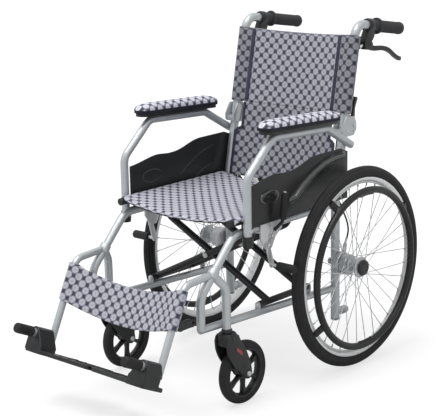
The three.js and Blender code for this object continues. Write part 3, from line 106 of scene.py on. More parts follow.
def joint_end(name):
    """The upper limit of a frame joint, in degrees."""
    for joint in frame["record"]["behaviour"]["joints"]:
        if joint["name"] == name:
            return joint["range_deg"][1]
    raise ValueError("no joint is called " + name)


# Driving sizes of the frame, in metres

SEAT_TUBE_Z = 0.445
FRONT_KNEE_Y = -0.425
FRONT_LEG_Y = -0.552
FRONT_ANKLE_Z = 0.311
RAIL_FRONT_Z = 0.228
RAIL_REAR_Z = 0.204
POST_FOOT_Z = 0.113
POST_KNEE_Z = 0.467
POST_TOP_Z = 0.650
BACK_LEAN = 0.2
TIP_STUB_Z = 0.130
BRANCH_START = (-0.507, 0.362)
BRANCH_KNEE_Z = 0.322
CASTER_STEM_Y = -0.476
CASTER_BARREL_Z = 0.206
ARM_FRONT_Y = -0.397
ARM_FOOT_Z = 0.434
ARM_SHOULDER_Z = 0.588
ARM_TOP_FRONT = (-0.296, 0.678)
ARM_TOP_REAR = (-0.072, 0.668)
ARM_END = (0.038, 0.606)
LEG_START = (-0.505, 0.362)
LEG_KNEE = (-0.608, 0.356)
FOOT_PIVOT = (-0.700, 0.166)
PIVOT_REACH = 0.077
HINGE_Z = 0.656
HINGE_BEHIND = 0.024
RELEASE_PIVOT = (0.067, 0.673)
HANDLE_CORNER_Z = 0.927
HANDLE_SLOPE = 0.15
HANDLE_END_Y = 0.314
HANDLE_TOE_IN = 0.012
GRIP_LENGTH = 0.130
LEVER_PIVOT = (0.152, 0.864)
BRACE_PIVOT_Z = 0.238
BRACE_CENTRE_Z = 0.336
BRACE_BEND_X = 0.155
BRACE_TOP_INSET = 0.008
BRACE_PLACES = (-0.300, -0.155)
BRACE_STEP = 0.020
BRACE_TUBE_Y = (-0.330, -0.124)
SEAT_RAIL_Z = 0.477
SEAT_RAIL_Y = (-0.440, -0.018)
SEAT_Y = (-0.432, -0.026)
BACK_LOW_Z = 0.688
BACK_TOP_Z = 0.895
LOWER_BACK_HALF = 0.160
LOWER_BACK_FOOT_HALF = 0.180
LOWER_BACK_FOOT_Z = 0.478
STRAP_SPAN = (0.086, 0.187)
PARK_PIVOT = (-0.296, 0.420)
PARK_ARM_PIVOT = (-0.312, 0.398)
PARK_ROLLER = (-0.296, 0.342)
PARK_ROLLER_X = (0.024, 0.080)
PARK_PLATE_X = FRAME_X + 0.0156
PARK_HANDLE_X = 0.238
PARK_HANDLE_TOP = (-0.271, 0.534)
FENDER_CLEARANCE = 0.024
TYRE_REACH = 0.280
SADDLE_PLACES = (-0.370, -0.060)
GUARD_FACE = 0.0131
GUARD_BOSS = (-0.302, 0.524)
HINGE_FACE = 0.0172
HINGE_SCREW_Z = 0.643
CABLE_X = 0.170
SLEEVE_CLEARANCE = 0.0026
SLEEVE_TURN_IN = 0.022
BACK_THICK = 0.0036
STRAP_THICK = 0.0034
HUB_SIDES = (-0.045, 0.016)
DRUM_SIDES = (0.2078, 0.2250)
PUSH_RIM_REACH = 0.028
BUMP_SPACING = 0.058

# Sizes that follow from these

LEG_RUN = LEG_KNEE[0] - FOOT_PIVOT[0]
LEG_RISE = LEG_KNEE[1] - FOOT_PIVOT[1]
LEG_TILT = math.atan2(LEG_RUN, LEG_RISE)
BRACE_RISE = BRACE_CENTRE_Z - BRACE_PIVOT_Z
BRACE_ARM = math.hypot(FRAME_X, BRACE_RISE)
FOLDED_SLOPE = math.atan2(BRACE_RISE, FRAME_X) + math.radians(joint_end("fold"))
FOLD_TRAVEL = 2 * (FRAME_X - BRACE_ARM * math.cos(FOLDED_SLOPE))


def lean_y(z):
    """How far behind the axle the back posts stand at height z."""
    return BACK_LEAN * (z - POST_KNEE_Z)


def rail_z(y):
    """Height of the lower side rail at y."""
    return RAIL_REAR_Z + (RAIL_REAR_Z - RAIL_FRONT_Z) * y / -FRONT_LEG_Y


def handle_at(y):
    """The push handle's centre line at y."""
    corner = lean_y(HANDLE_CORNER_Z)
    share = (y - corner) / (HANDLE_END_Y - corner)
    return at(FRAME_X - HANDLE_TOE_IN * share, y, HANDLE_CORNER_Z - HANDLE_SLOPE * (y - corner))


HINGE_Y = lean_y(HINGE_Z) + HINGE_BEHIND
HANDLE_TIP = handle_at(HANDLE_END_Y)
HANDLE_LINE = (handle_at(lean_y(HANDLE_CORNER_Z)) - HANDLE_TIP).normalized()


# Sizes and colours that a user would change


def length(name, default, description):
    return bpy.props.FloatProperty(
        name=name, default=default, description=description, unit="LENGTH", subtype="DISTANCE", precision=4
    )


def colour(name, default, description):
    return bpy.props.FloatVectorProperty(
        name=name, default=default, description=description, subtype="COLOR", size=3, min=0, max=1
    )


class WheelchairFrameSizes(bpy.types.PropertyGroup):
    post_radius: length("Post radius", 0.0125, "Outside radius of the rear post, cane and handle")
    tube_radius: length("Tube radius", 0.011, "Outside radius of the seat tube, front leg and armrest")
    rail_radius: length("Rail radius", 0.010, "Outside radius of the lower rail and the seat rails")
    leg_radius: length("Leg rest radius", 0.0095, "Outside radius of the leg rest tube")
    brace_radius: length("Brace radius", 0.0095, "Outside radius of the cross bars")


class WheelchairWheelSizes(bpy.types.PropertyGroup):
    tyre_section: length("Tyre section", 0.017, "Radius of the rear tyre's section")
    rim_radius: length("Rim radius", 0.250, "Radius of the rear rim's outer edge")
    push_rim_radius: length("Push rim radius", 0.217, "Radius of the push rim's centre line")
    push_rim_tube: length("Push rim tube", 0.0095, "Radius of the push rim's tube")
    spokes: bpy.props.IntProperty(name="Spokes", default=36, description="Spokes in one rear wheel")
    bumps: bpy.props.IntProperty(
        name="Bumps", default=5, description="Finger bumps in each of the push rim's four rows"
    )


class WheelchairClothSizes(bpy.types.PropertyGroup):
    dot_pitch: length("Dot pitch", 0.0306, "From one dot to the next along a row")
    row_pitch: length("Row pitch", 0.01525, "From one row of dots to the next")
    dot_radius: length("Dot radius", 0.0098, "Radius of one woven dot")
    thread: length("Thread", 0.0031, "Height of one band of threads")
    seat_sag: length("Seat sag", 0.020, "How far the seat hangs below its rails in the middle")
    back_sag: length("Back sag", 0.024, "How far the back panel gives rearwards in the middle")
    strap_sag: length("Strap sag", 0.042, "How far the calf strap gives rearwards in the middle")


class WheelchairColours(bpy.types.PropertyGroup):
    silver: colour("Silver", (0.50, 0.53, 0.55), "Satin frame tubes")
    steel: colour("Steel", (0.60, 0.61, 0.62), "Zinc plated brake parts, spokes and bolts")
    enamel: colour("Enamel", (0.011, 0.011, 0.012), "Black enamelled cross braces and push rims")
    plastic: colour("Plastic", (0.013, 0.0135, 0.015), "Black moulded parts")
    rubber: colour("Rubber", (0.013, 0.013, 0.014), "Tyres and rollers")
    grip: colour("Grip", (0.040, 0.040, 0.043), "Push grips")
    cloth_ground: colour("Cloth ground", (0.050, 0.052, 0.078), "Navy ground between the dots")
    cloth_dot: colour("Cloth dot", (0.565, 0.57, 0.635), "Pale woven dots")
    binding: colour("Binding", (0.014, 0.015, 0.026), "Navy edge tape and seams")
    tape: colour("Tape", (0.034, 0.036, 0.062), "Navy tapes over the seams")
    accent: colour("Accent", (0.35, 0.015, 0.02), "Small inlay on the caster forks")
    rim: colour("Rim", (0.86, 0.87, 0.88), "Polished rear rims")
    floor: colour("Floor", (0.62, 0.62, 0.62), "Studio floor")


class WheelchairStudioSettings(bpy.types.PropertyGroup):
    eye: bpy.props.FloatVectorProperty(
        name="Eye", default=(2.3476, -2.6114, 1.3266), description="Where the camera stands",
        subtype="TRANSLATION",
    )
    azimuth: bpy.props.FloatProperty(
        name="Azimuth", default=math.radians(42.05), description="Camera heading from +Y towards -X",
        subtype="ANGLE",
    )
    elevation: bpy.props.FloatProperty(
        name="Elevation", default=math.radians(13.98), description="Camera angle above level", subtype="ANGLE"
    )
    roll: bpy.props.FloatProperty(name="Roll", default=-0.02, description="Camera roll", subtype="ANGLE")
    lens: bpy.props.FloatProperty(name="Lens", default=110.1, description="Focal length for a 36 mm sensor")
    lamp: bpy.props.FloatProperty(name="Lamp", default=1.4, description="Strength of the soft main lamp")
    side_lamp: bpy.props.FloatProperty(
        name="Side lamp", default=0.25, description="Strength of the lamp on the user's left"
    )


GROUPS = {
    "wheelchair_frame": WheelchairFrameSizes,
    "wheelchair_wheels": WheelchairWheelSizes,
    "wheelchair_cloth": WheelchairClothSizes,
    "wheelchair_colours": WheelchairColours,
    "wheelchair_studio": WheelchairStudioSettings,
}


def sizes(group):
    """One of the scene's property groups."""
    return getattr(bpy.context.scene, "wheelchair_" + group)


# Materials

NOISE_SPAN = (0.3, 0.7)
THREAD_WOBBLE = 0.0022
ROW_STRETCH = 1.06
DOT_FADE_IN = 0.0026
DOT_FADE_OUT = 0.0022
DOT_CENTRE = (0.0008, 0.0046)
GROUND_CHANNEL = (0.0035, 0.0095)


def node(tree, kind, values=None, **settings):
    """Adds a shader node with its settings, and sets or links its inputs."""
    made = tree.nodes.new(kind)
    for name, value in settings.items():
        setattr(made, name, value)
    for name, value in (values or {}).items():
        if isinstance(value, bpy.types.NodeSocket):
            tree.links.new(value, made.inputs[name])
        else:
            made.inputs[name].default_value = value
    return made


def maths(tree, operation, *values):
    """The result of a sum on sockets and numbers."""
    made = tree.nodes.new("ShaderNodeMath")
    made.operation = operation
    for slot, value in zip(made.inputs, values):
        if isinstance(value, bpy.types.NodeSocket):
            tree.links.new(value, slot)
        else:
            slot.default_value = value
    return made.outputs[0]


def blank_material(name):
    """A material with only a Principled shader and its output, and the two as a tree and shader."""
    material = bpy.data.materials.new(name)
    material.use_nodes = True
    tree = material.node_tree
    tree.nodes.clear()
    shader = tree.nodes.new("ShaderNodeBsdfPrincipled")
    output = tree.nodes.new("ShaderNodeOutputMaterial")
    tree.links.new(shader.outputs[0], output.inputs["Surface"])
    return material, tree, shader


def noise(tree, place, scale, detail):
    cloud = node(tree, "ShaderNodeTexNoise", {"Vector": place, "Scale": scale, "Detail": detail})
    return cloud.outputs["Fac"]


def ranged(tree, value, start, end, low, high, **settings):
    """Turns values from start to end into low to high."""
    inputs = {"Value": value, "From Min": start, "From Max": end, "To Min": low, "To Max": high}
    return node(tree, "ShaderNodeMapRange", inputs, **settings).outputs[0]


def mixed(tree, factor, first, second):
    """A colour between two, each of them a constant or a socket."""
    return node(tree, "ShaderNodeMix", {"Factor": factor, 6: first, 7: second}, data_type="RGBA").outputs[2]


def mottled(tree, shader, place, shade, spread, grain, scale):
    """Gives a shader a colour that varies softly between shade times 1 - spread and 1 + spread."""
    settings = {"Vector": place, "Scale": scale, "Detail": grain, "Roughness": 0.6}
    cloud = node(tree, "ShaderNodeTexNoise", settings)
    ramp = ranged(tree, cloud.outputs["Fac"], *NOISE_SPAN, 0, 1)
    low = [max(c * (1 - spread), 0) for c in shade] + [1]
    high = [min(c * (1 + spread), 1) for c in shade] + [1]
    tree.links.new(mixed(tree, ramp, low, high), shader.inputs["Base Color"])


def surface(name, shade, spread, roughness, rough_spread, grain_scale, grain_height, metallic=0.0, coat=0.0,
            specular=0.5):
    """A procedural finish: mottled colour, uneven gloss and a fine surface grain."""
    if name in bpy.data.materials:
        return bpy.data.materials[name]
    material, tree, shader = blank_material(name)
    place = node(tree, "ShaderNodeTexCoord").outputs["Object"]
    mottled(tree, shader, place, shade, spread, 3, 14)
    wear = noise(tree, place, 45, 4)
    gloss = ranged(tree, wear, *NOISE_SPAN, roughness - rough_spread, roughness + rough_spread)
    tree.links.new(gloss, shader.inputs["Roughness"])
    grain = noise(tree, place, grain_scale, 2)
    bump = node(tree, "ShaderNodeBump", {"Height": grain, "Strength": 0.35, "Distance": grain_height})
    tree.links.new(bump.outputs[0], shader.inputs["Normal"])
    shader.inputs["Metallic"].default_value = metallic
    shader.inputs["Coat Weight"].default_value = coat
    shader.inputs["Coat Roughness"].default_value = 0.25
    shader.inputs["Specular IOR Level"].default_value = specular
    return material


def silver():
    shade = sizes("colours").silver
    return surface("satin_silver", shade, 0.04, 0.34, 0.04, 700, 0.000012, metallic=0.55, coat=0.15)


def steel():
    return surface("zinc_steel", sizes("colours").steel, 0.04, 0.33, 0.03, 700, 0.000006, metallic=0.6)


def enamel():
    return surface("black_enamel", sizes("colours").enamel, 0.15, 0.36, 0.05, 260, 0.00002, specular=0.4)


def plastic():
    return surface("moulded_black", sizes("colours").plastic, 0.12, 0.36, 0.05, 1500, 0.00004, specular=0.45)


def fender_plastic():
    shade = sizes("colours").plastic
    return surface("glossy_black", shade, 0.10, 0.24, 0.03, 900, 0.00001, coat=0.6, specular=0.9)


def rubber():
    return surface("soft_rubber", sizes("colours").rubber, 0.15, 0.66, 0.06, 1100, 0.00008, specular=0.35)


def polished():
    return surface("polished_rim", sizes("colours").rim, 0.03, 0.30, 0.04, 240, 0.000005, metallic=0.35)


def grip_rubber():
    return surface("grip_rubber", sizes("colours").grip, 0.12, 0.62, 0.06, 1100, 0.00008)


def binding():
    return surface("navy_tape", sizes("colours").binding, 0.25, 0.88, 0.05, 1900, 0.0003)


def accent():
    return surface("red_inlay", sizes("colours").accent, 0.08, 0.35, 0.05, 600, 0.00004, coat=0.4)


def cloth(name="dotted_cloth", painted_light_share=1.0):
    """Woven cloth with staggered pale dots on navy, laid out on the piece's own UV map in metres; its dots
    and ground are scaled by a share of painted light or painted shade.
    """
    if name in bpy.data.materials:
        return bpy.data.materials[name]
    weave = sizes("cloth")
    shades = sizes("colours")
    material, tree, shader = blank_material(name)

    def plus(a, b):
        return maths(tree, "ADD", a, b)

    def times(a, b):
        return maths(tree, "MULTIPLY", a, b)

    def scaled(shade, share):
        return node(tree, "ShaderNodeVectorMath", {0: shade, "Scale": share}, operation="SCALE").outputs[0]

    flat = node(tree, "ShaderNodeUVMap", uv_map="UVMap").outputs[0]
    split = node(tree, "ShaderNodeSeparateXYZ", {"Vector": flat})
    along = split.outputs[1]
    across = plus(split.outputs[0], times(plus(noise(tree, flat, 160, 2), -0.5), THREAD_WOBBLE))

    def off_centre(place, repeat, shift):
        """Signed share of the repeat from its centre."""
        return plus(maths(tree, "FRACT", plus(maths(tree, "DIVIDE", place, repeat), shift)), -0.5)

    def nearest(*shifts):
        """Distance to the nearest centre of two staggered grids, each moved by its share of the repeat."""
        reach = []
        for sideways, upwards in shifts:
            x = times(off_centre(across, weave.dot_pitch, sideways), weave.dot_pitch)
            y = times(off_centre(along, 2 * weave.row_pitch, upwards), 2 * weave.row_pitch * ROW_STRETCH)
            reach.append(maths(tree, "SQRT", plus(times(x, x), times(y, y))))
        return maths(tree, "MINIMUM", *reach)

    near = nearest((0.0, 0.0), (0.5, 0.5))
    void = nearest((0.5, 0.0), (0.0, 0.5))
    dot = ranged(tree, near, weave.dot_radius - DOT_FADE_IN, weave.dot_radius + DOT_FADE_OUT, 1, 0,
                 interpolation_type="SMOOTHSTEP")
    ring = ranged(tree, near, *DOT_CENTRE, 0.78, 1.04)
    channel = ranged(tree, void, *GROUND_CHANNEL, 1.0, 3.1)
    bands = maths(tree, "SINE", times(along, 2 * math.pi / weave.thread))
    warp = maths(tree, "SINE", times(across, 2 * math.pi / (weave.thread * 0.45)))
    threads = plus(times(bands, 0.10), times(warp, 0.05))
    fleck = ranged(tree, noise(tree, flat, 420, 3), *NOISE_SPAN, 0.80, 1.16)
    # The share scales the dot colour, and the ground colour up to 1, as painted light or painted shade.
    pale = scaled([part * painted_light_share for part in shades.cloth_dot], times(times(ring, plus(threads, 0.95)), fleck))
    dark = scaled([part * min(painted_light_share, 1.0) for part in shades.cloth_ground],
                  times(channel, times(fleck, plus(times(bands, 0.2), 1.0))))
    tree.links.new(mixed(tree, dot, dark, pale), shader.inputs["Base Color"])
    relief = plus(times(dot, 0.6), times(plus(bands, warp), 0.35))
    bump = node(tree, "ShaderNodeBump", {"Height": relief, "Strength": 0.5, "Distance": 0.0004})
    tree.links.new(bump.outputs[0], shader.inputs["Normal"])
    shader.inputs["Roughness"].default_value = 0.86
    shader.inputs["Sheen Weight"].default_value = 0.12
    shader.inputs["Sheen Roughness"].default_value = 0.5
    return material


# Painted shade: the sleeves' cloth is the same cloth darkened to 0.52, for sleeves that curve away from the
# light.
def painted_shade_sleeve_cloth():
    return cloth("dotted_sleeve_cloth", 0.52)


# Painted shade: the back panel's cloth is the same cloth darkened to 0.80, as front-facing cloth gets less
# light than the seat.
def painted_shade_back_cloth():
    return cloth("dotted_back_cloth", 0.80)


# Painted shade: the lower back's cloth is the same cloth darkened to 0.68, for the shade it lies in under the
# arms.
def painted_shade_lower_cloth():
    return cloth("dotted_lower_cloth", 0.68)


# Painted shade: the calf strap's cloth is the same cloth darkened to 0.86, as front-facing cloth gets less
# light.
def painted_shade_strap_cloth():
    return cloth("dotted_strap_cloth", 0.86)


# Painted light: the arm pads' cloth is the same cloth with its dots brightened to 1.30, as the pads' tops
# face the light.
def painted_light_pad_cloth():
    return cloth("dotted_pad_cloth", 1.30)


def tape():
    return surface("woven_tape", sizes("colours").tape, 0.3, 0.88, 0.05, 1900, 0.0003)


# Modelling helpers


def fresh():
    """Back to object mode with nothing selected."""
    if bpy.context.object and bpy.context.object.mode != "OBJECT":
        bpy.ops.object.mode_set(mode="OBJECT")
    bpy.ops.object.select_all(action="DESELECT")


def pick(piece):
    fresh()
    piece.select_set(True)
    bpy.context.view_layer.objects.active = piece
    return piece


def settle(piece):
    """Puts the object's place, turn and scale into its mesh."""
    pick(piece)
    bpy.ops.object.transform_apply(location=True, rotation=True, scale=True)
    return piece


def edit(piece):
    """Edit mode with all of the mesh selected."""
    pick(piece)
    bpy.ops.object.mode_set(mode="EDIT")
    bpy.ops.mesh.select_all(action="SELECT")


def close_up(piece):
    """Merges doubles, drops loose edges and turns the faces outwards."""
    edit(piece)
    bpy.ops.mesh.remove_doubles(threshold=0.00001)
    bpy.ops.mesh.delete_loose(use_verts=True, use_edges=True, use_faces=False)
    bpy.ops.mesh.select_all(action="SELECT")
    bpy.ops.mesh.normals_make_consistent(inside=False)
    bpy.ops.object.mode_set(mode="OBJECT")
    return piece


def coat(piece, material):
    piece.data.materials.clear()
    piece.data.materials.append(material)
    return piece


def apply_modifier(piece, kind, **settings):
    pick(piece)
    made = piece.modifiers.new(kind.lower(), kind)
    for name, value in settings.items():
        setattr(made, name, value)
    bpy.ops.object.modifier_apply(modifier=made.name)
    return piece


def softened(piece, width, segments=2, angle=32):
    """Rounds the sharp edges of a piece."""
    return apply_modifier(
        piece, "BEVEL", width=width, segments=segments, limit_method="ANGLE", angle_limit=math.radians(angle)
    )


def disc(centre, normal, radius, sides):
    fresh()
    turn = Vector(normal).to_track_quat("Z", "Y").to_euler()
    bpy.ops.mesh.primitive_circle_add(
        vertices=sides, radius=radius, fill_type="NGON", location=centre, rotation=turn
    )
    return settle(bpy.context.object)


def extrude(step):
    bpy.ops.mesh.extrude_region_move(TRANSFORM_OT_translate={"value": step})


def bar(corners, radius, bend=0.0, sides=20, step=math.radians(9)):
    """A round bar, extruded along its straights and spun round the bend at each inner corner."""
    corners = [Vector(corner) for corner in corners]
    made = disc(corners[0], corners[1] - corners[0], radius, sides)
    edit(made)
    place = corners[0]
    for before, corner, after in zip(corners, corners[1:], corners[2:]):
        back = (before - corner).normalized()
        onward = (after - corner).normalized()
        half = back.angle(onward) / 2
        reach = bend / math.tan(half)
        centre = corner + (back + onward).normalized() * bend / math.sin(half)
        extrude(corner + back * reach - place)
        sweep = math.pi - 2 * half
        turns = max(2, math.ceil(sweep / step))
        bpy.ops.mesh.spin(steps=turns, angle=sweep, center=centre, axis=onward.cross(-back).normalized())
        place = corner + onward * reach
    extrude(corners[-1] - place)
    bpy.ops.object.mode_set(mode="OBJECT")
    return made


def ring_of(count, fill):
    """A closed ring of points, to be put in their places."""
    fresh()
    bpy.ops.mesh.primitive_circle_add(vertices=count, radius=1, fill_type=fill, location=(0, 0, 0))
    return bpy.context.object


def turned(profile, centre, axis, steps=40):
    """A shaft or ring spun round an axis from a closed outline of (radius, along) points."""
    axis = Vector(axis).normalized()
    side = axis.orthogonal().normalized()
    made = ring_of(len(profile), "NOTHING")
    for vertex, (radius, along) in zip(made.data.vertices, profile):
        vertex.co = Vector(centre) + side * radius + axis * along
    edit(made)
    bpy.ops.mesh.spin(steps=steps, angle=2 * math.pi, center=centre, axis=axis)
    return close_up(made)


def plate(outline, corner, across, up, thick, bevel=0.0, segments=2):
    """A flat piece: an outline of (across, up) points, extruded along across x up and then bevelled."""
    across, up = Vector(across), Vector(up)
    made = ring_of(len(outline), "NGON")
    for vertex, (u, v) in zip(made.data.vertices, outline):
        vertex.co = Vector(corner) + across * u + up * v
    edit(made)
    extrude(across.cross(up).normalized() * thick)
    bpy.ops.object.mode_set(mode="OBJECT")
    close_up(made)
    if bevel:
        softened(made, bevel, segments)
    return made


def block(low, high, bevel=0.001):
    """A box between two corners with softened edges."""
    low, high = Vector(low), Vector(high)
    fresh()
    bpy.ops.mesh.primitive_cube_add(size=1, location=(low + high) / 2, scale=high - low)
    return softened(settle(bpy.context.object), bevel)


def arc(centre, radius, start, end, count):
    """Points of an arc, from start to end in radians."""
    points = []
    for i in range(count + 1):
        angle = start + (end - start) * i / count
        points.append((centre[0] + radius * math.cos(angle), centre[1] + radius * math.sin(angle)))
    return points


def curve(a, b, c, count, d=None):
    """Points of a quadratic or cubic curve after its first point."""
    points = []
    for i in range(1, count + 1):
        t = i / count
        if d is None:
            weights = ((1 - t) ** 2, 2 * t * (1 - t), t * t)
            stations = (a, b, c)
        else:
            weights = ((1 - t) ** 3, 3 * t * (1 - t) ** 2, 3 * t * t * (1 - t), t ** 3)
            stations = (a, b, c, d)
        points.append(tuple(sum(w * s[k] for w, s in zip(weights, stations)) for k in (0, 1)))
    return points


def coated(material, *pieces):
    """Several pieces, each in the same material."""
    return [coat(piece, material) for piece in pieces]


def joined(*pieces):
    """One object of several, in order, with their materials kept."""
    fresh()
    for piece in pieces:
        piece.select_set(True)
    bpy.context.view_layer.objects.active = pieces[0]
    bpy.ops.object.join()
    return pieces[0]


def face_out(piece):
    """Turns the faces of a piece outwards."""
    edit(piece)
    bpy.ops.mesh.normals_make_consistent(inside=False)
    bpy.ops.object.mode_set(mode="OBJECT")
    return piece


def flipped(piece):
    """The piece turned into its own mirror image on the other side of the chair."""
    piece.matrix_world = Matrix.Scale(-1, 4, X)
    return face_out(settle(piece))


def mirrored(piece):
    """A copy of the piece, with its own mesh, for the other side of the chair."""
    pick(piece)
    bpy.ops.object.duplicate()
    return flipped(bpy.context.object)


def grid(columns, rows, place):
    """A net of columns by rows faces, whose points are where place(column, row) says."""
    fresh()
    bpy.ops.mesh.primitive_grid_add(x_subdivisions=columns, y_subdivisions=rows, size=1, location=(0, 0, 0))
    made = bpy.context.object
    for index, vertex in enumerate(made.data.vertices):
        row, column = divmod(index, columns + 1)
        vertex.co = place(column, row)
    return made


def lay_flat(piece, columns, spot):
    """Gives a net its UV map: spot(column, row) is where each point lies in the flat cloth, in metres."""
    uv = piece.data.uv_layers.active.data
    for loop in piece.data.loops:
        row, column = divmod(loop.vertex_index, columns + 1)
        uv[loop.index].uv = spot(column, row)


def round_angles(count):
    """Equal steps round a full turn."""
    return [2 * math.pi * i / count for i in range(count)]


def from_axle(angle):
    """The way out from an axle at an angle in the wheel's plane."""
    return Vector((0, math.cos(angle), math.sin(angle)))


def neighbours(line, index):
    """The points before and after one on a line, or the end itself."""
    return line[max(index - 1, 0)], line[min(index + 1, len(line) - 1)]


def cord_of(points, radius, material, sides=3):
    """A thin cable through a few points, as a mesh."""
    line = bpy.data.curves.new("cable", "CURVE")
    line.dimensions = "3D"
    line.bevel_depth = radius
    line.bevel_resolution = sides
    line.use_fill_caps = True
    line.resolution_u = 8
    spline = line.splines.new("BEZIER")
    spline.bezier_points.add(len(points) - 1)
    for knot, place in zip(spline.bezier_points, points):
        knot.co = place
        knot.handle_left_type = knot.handle_right_type = "AUTO"
    made = bpy.data.objects.new("cable", line)
    bpy.context.collection.objects.link(made)
    pick(made)
    bpy.ops.object.convert(target="MESH")
    return coat(close_up(bpy.context.object), material)


def carrier(node_name):
    """The body that carries a frame node."""
    for body, nodes in frame["record"]["behaviour"]["bodies"].items():
        if node_name in nodes:
            return body
    raise ValueError("no body holds " + node_name)


def stand_in(piece, node_name, angle, name=None):
    """Smooths a finished piece, gives it its name and hides the frame node that it replaces."""
    pick(piece)
    bpy.ops.object.shade_smooth_by_angle(angle=math.radians(angle))
    piece.name = name or node_name + "_finished"
    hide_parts(node_name)
    return piece


def dress(piece, node_name, angle=34, name=None, body=None):
    """Puts a piece in the place of a frame node, under its own name and on its own body where given."""
    stand_in(piece, node_name, angle, name)
    piece.data.name = piece.name
    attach(piece, body or carrier(node_name))
    return piece


def on_both_sides(piece, node_name, angle=34):
    """Dresses the left piece and its mirror image on the right."""
    other = mirrored(piece)
    return dress(piece, "left_" + node_name, angle), dress(other, "right_" + node_name, angle)


def refined(node_name, material, bevel, segments=2, angle=40):
    """A merged copy of a frame node's mesh with its edges rounded."""
    made = bpy.data.objects.new(node_name, frame["nodes"][node_name].data.copy())
    bpy.context.collection.objects.link(made)
    close_up(made)
    edit(made)
    bpy.ops.mesh.dissolve_limited(angle_limit=math.radians(1.5))
    bpy.ops.object.mode_set(mode="OBJECT")
    return coat(softened(made, bevel, segments, angle), material)


def bolt(centre, axis, radius=0.006, height=0.004, material=None):
    """A domed bolt head that stands out along its axis."""
    edge = [(radius, -0.001), (radius, height * 0.45), (radius * 0.8, height * 0.85)]
    return coat(turned([(0, -0.001), *edge, (0, height)], centre, axis, 18), material or steel())


class WHEELCHAIR_OT_side_frame(bpy.types.Operator):
    """Models the welded tubes of both side frames"""

    bl_idname = "wheelchair.side_frame"
    bl_label = "Side frames"

    def front(self, tubes):
        """The seat tube bent down into the front leg, the branch to the caster and the brace's saddles."""
        line = [(-tubes.post_radius * 0.6, SEAT_TUBE_Z), (FRONT_KNEE_Y, SEAT_TUBE_Z),
                (FRONT_LEG_Y, FRONT_ANKLE_Z), (FRONT_LEG_Y, RAIL_FRONT_Z)]
        leg = bar([at(FRAME_X, *corner) for corner in line], tubes.tube_radius, 0.060)
        branch = bar(
            [at(FRAME_X, *BRANCH_START), at(CASTER_X, CASTER_STEM_Y, BRANCH_KNEE_Z),
             at(CASTER_X, CASTER_STEM_Y, CASTER_BARREL_Z + 0.003)],
            tubes.tube_radius, 0.034)
        collar = turned(
            [(0.0064, 0), (0.0135, 0), (0.0140, 0.004), (0.0135, 0.009), (0.0108, 0.011), (0.0064, 0.011)],
            at(CASTER_X, CASTER_STEM_Y, CASTER_BARREL_Z), Z, 28)
        pieces = [*coated(silver(), leg, branch), coat(collar, plastic())]
        for y in SADDLE_PLACES:
            low = at(FRAME_X - 0.0105, y - 0.013, SEAT_TUBE_Z + 0.004)
            high = at(FRAME_X + 0.0105, y + 0.013, SEAT_RAIL_Z - 0.0052)
            pieces.append(coat(block(low, high, 0.002), plastic()))
        return joined(*pieces)

    def rail(self, tubes):
        """The lower rail with the two lugs that carry the brace's pivot tube."""
        front = FRONT_LEG_Y - tubes.tube_radius * 0.4
        line = [at(FRAME_X, front, rail_z(front)), at(FRAME_X, -0.006, rail_z(0))]
        parts = [coat(bar(line, tubes.rail_radius), silver())]
        for y, way in ((BRACE_TUBE_Y[0] - 0.006, -1), (BRACE_TUBE_Y[1] + 0.001, 1)):
            foot = rail_z(y) - BRACE_PIVOT_Z
            outline = [(-0.008, foot), (0.008, foot), *arc((0, 0), 0.008, 0, math.pi, 12)]
            lug = plate(outline, at(FRAME_X, y + 0.005, BRACE_PIVOT_Z), X, Z, 0.005, 0.0008)
            head = at(FRAME_X, y + (0.005 if way > 0 else 0), BRACE_PIVOT_Z)
            parts += [coat(lug, silver()), bolt(head, Y * way, 0.0055)]
        return joined(*parts)

    def post(self, tubes):
        """The rear post with its tipping stub and plugs."""
        line = [(0, POST_FOOT_Z), (0, POST_KNEE_Z), (lean_y(POST_TOP_Z), POST_TOP_Z)]
        tube = coat(bar([at(FRAME_X, *corner) for corner in line], tubes.post_radius, 0.120, 24), silver())
        stub = coat(bar([at(FRAME_X, 0, TIP_STUB_Z), at(FRAME_X, 0.05, TIP_STUB_Z)], 0.0095), silver())
        cap = coat(turned(
            [(0, 0.028), (0.0112, 0.028), (0.0116, 0.032), (0.0112, 0.046), (0.0085, 0.052), (0, 0.053)],
            at(FRAME_X, 0, TIP_STUB_Z), Y, 24), silver())
        plug = coat(turned(
            [(0, -0.002), (0.0105, -0.002), (0.0122, 0.0), (0.0126, 0.004), (0, 0.004)],
            at(FRAME_X, 0, POST_FOOT_Z - 0.0005), Z, 24), plastic())
        return joined(tube, stub, cap, plug)

    def execute(self, context):
        tubes = sizes("frame")
        on_both_sides(self.front(tubes), "front_frame")
        on_both_sides(self.rail(tubes), "lower_rail")
        on_both_sides(self.post(tubes), "rear_post")
        return {"FINISHED"}


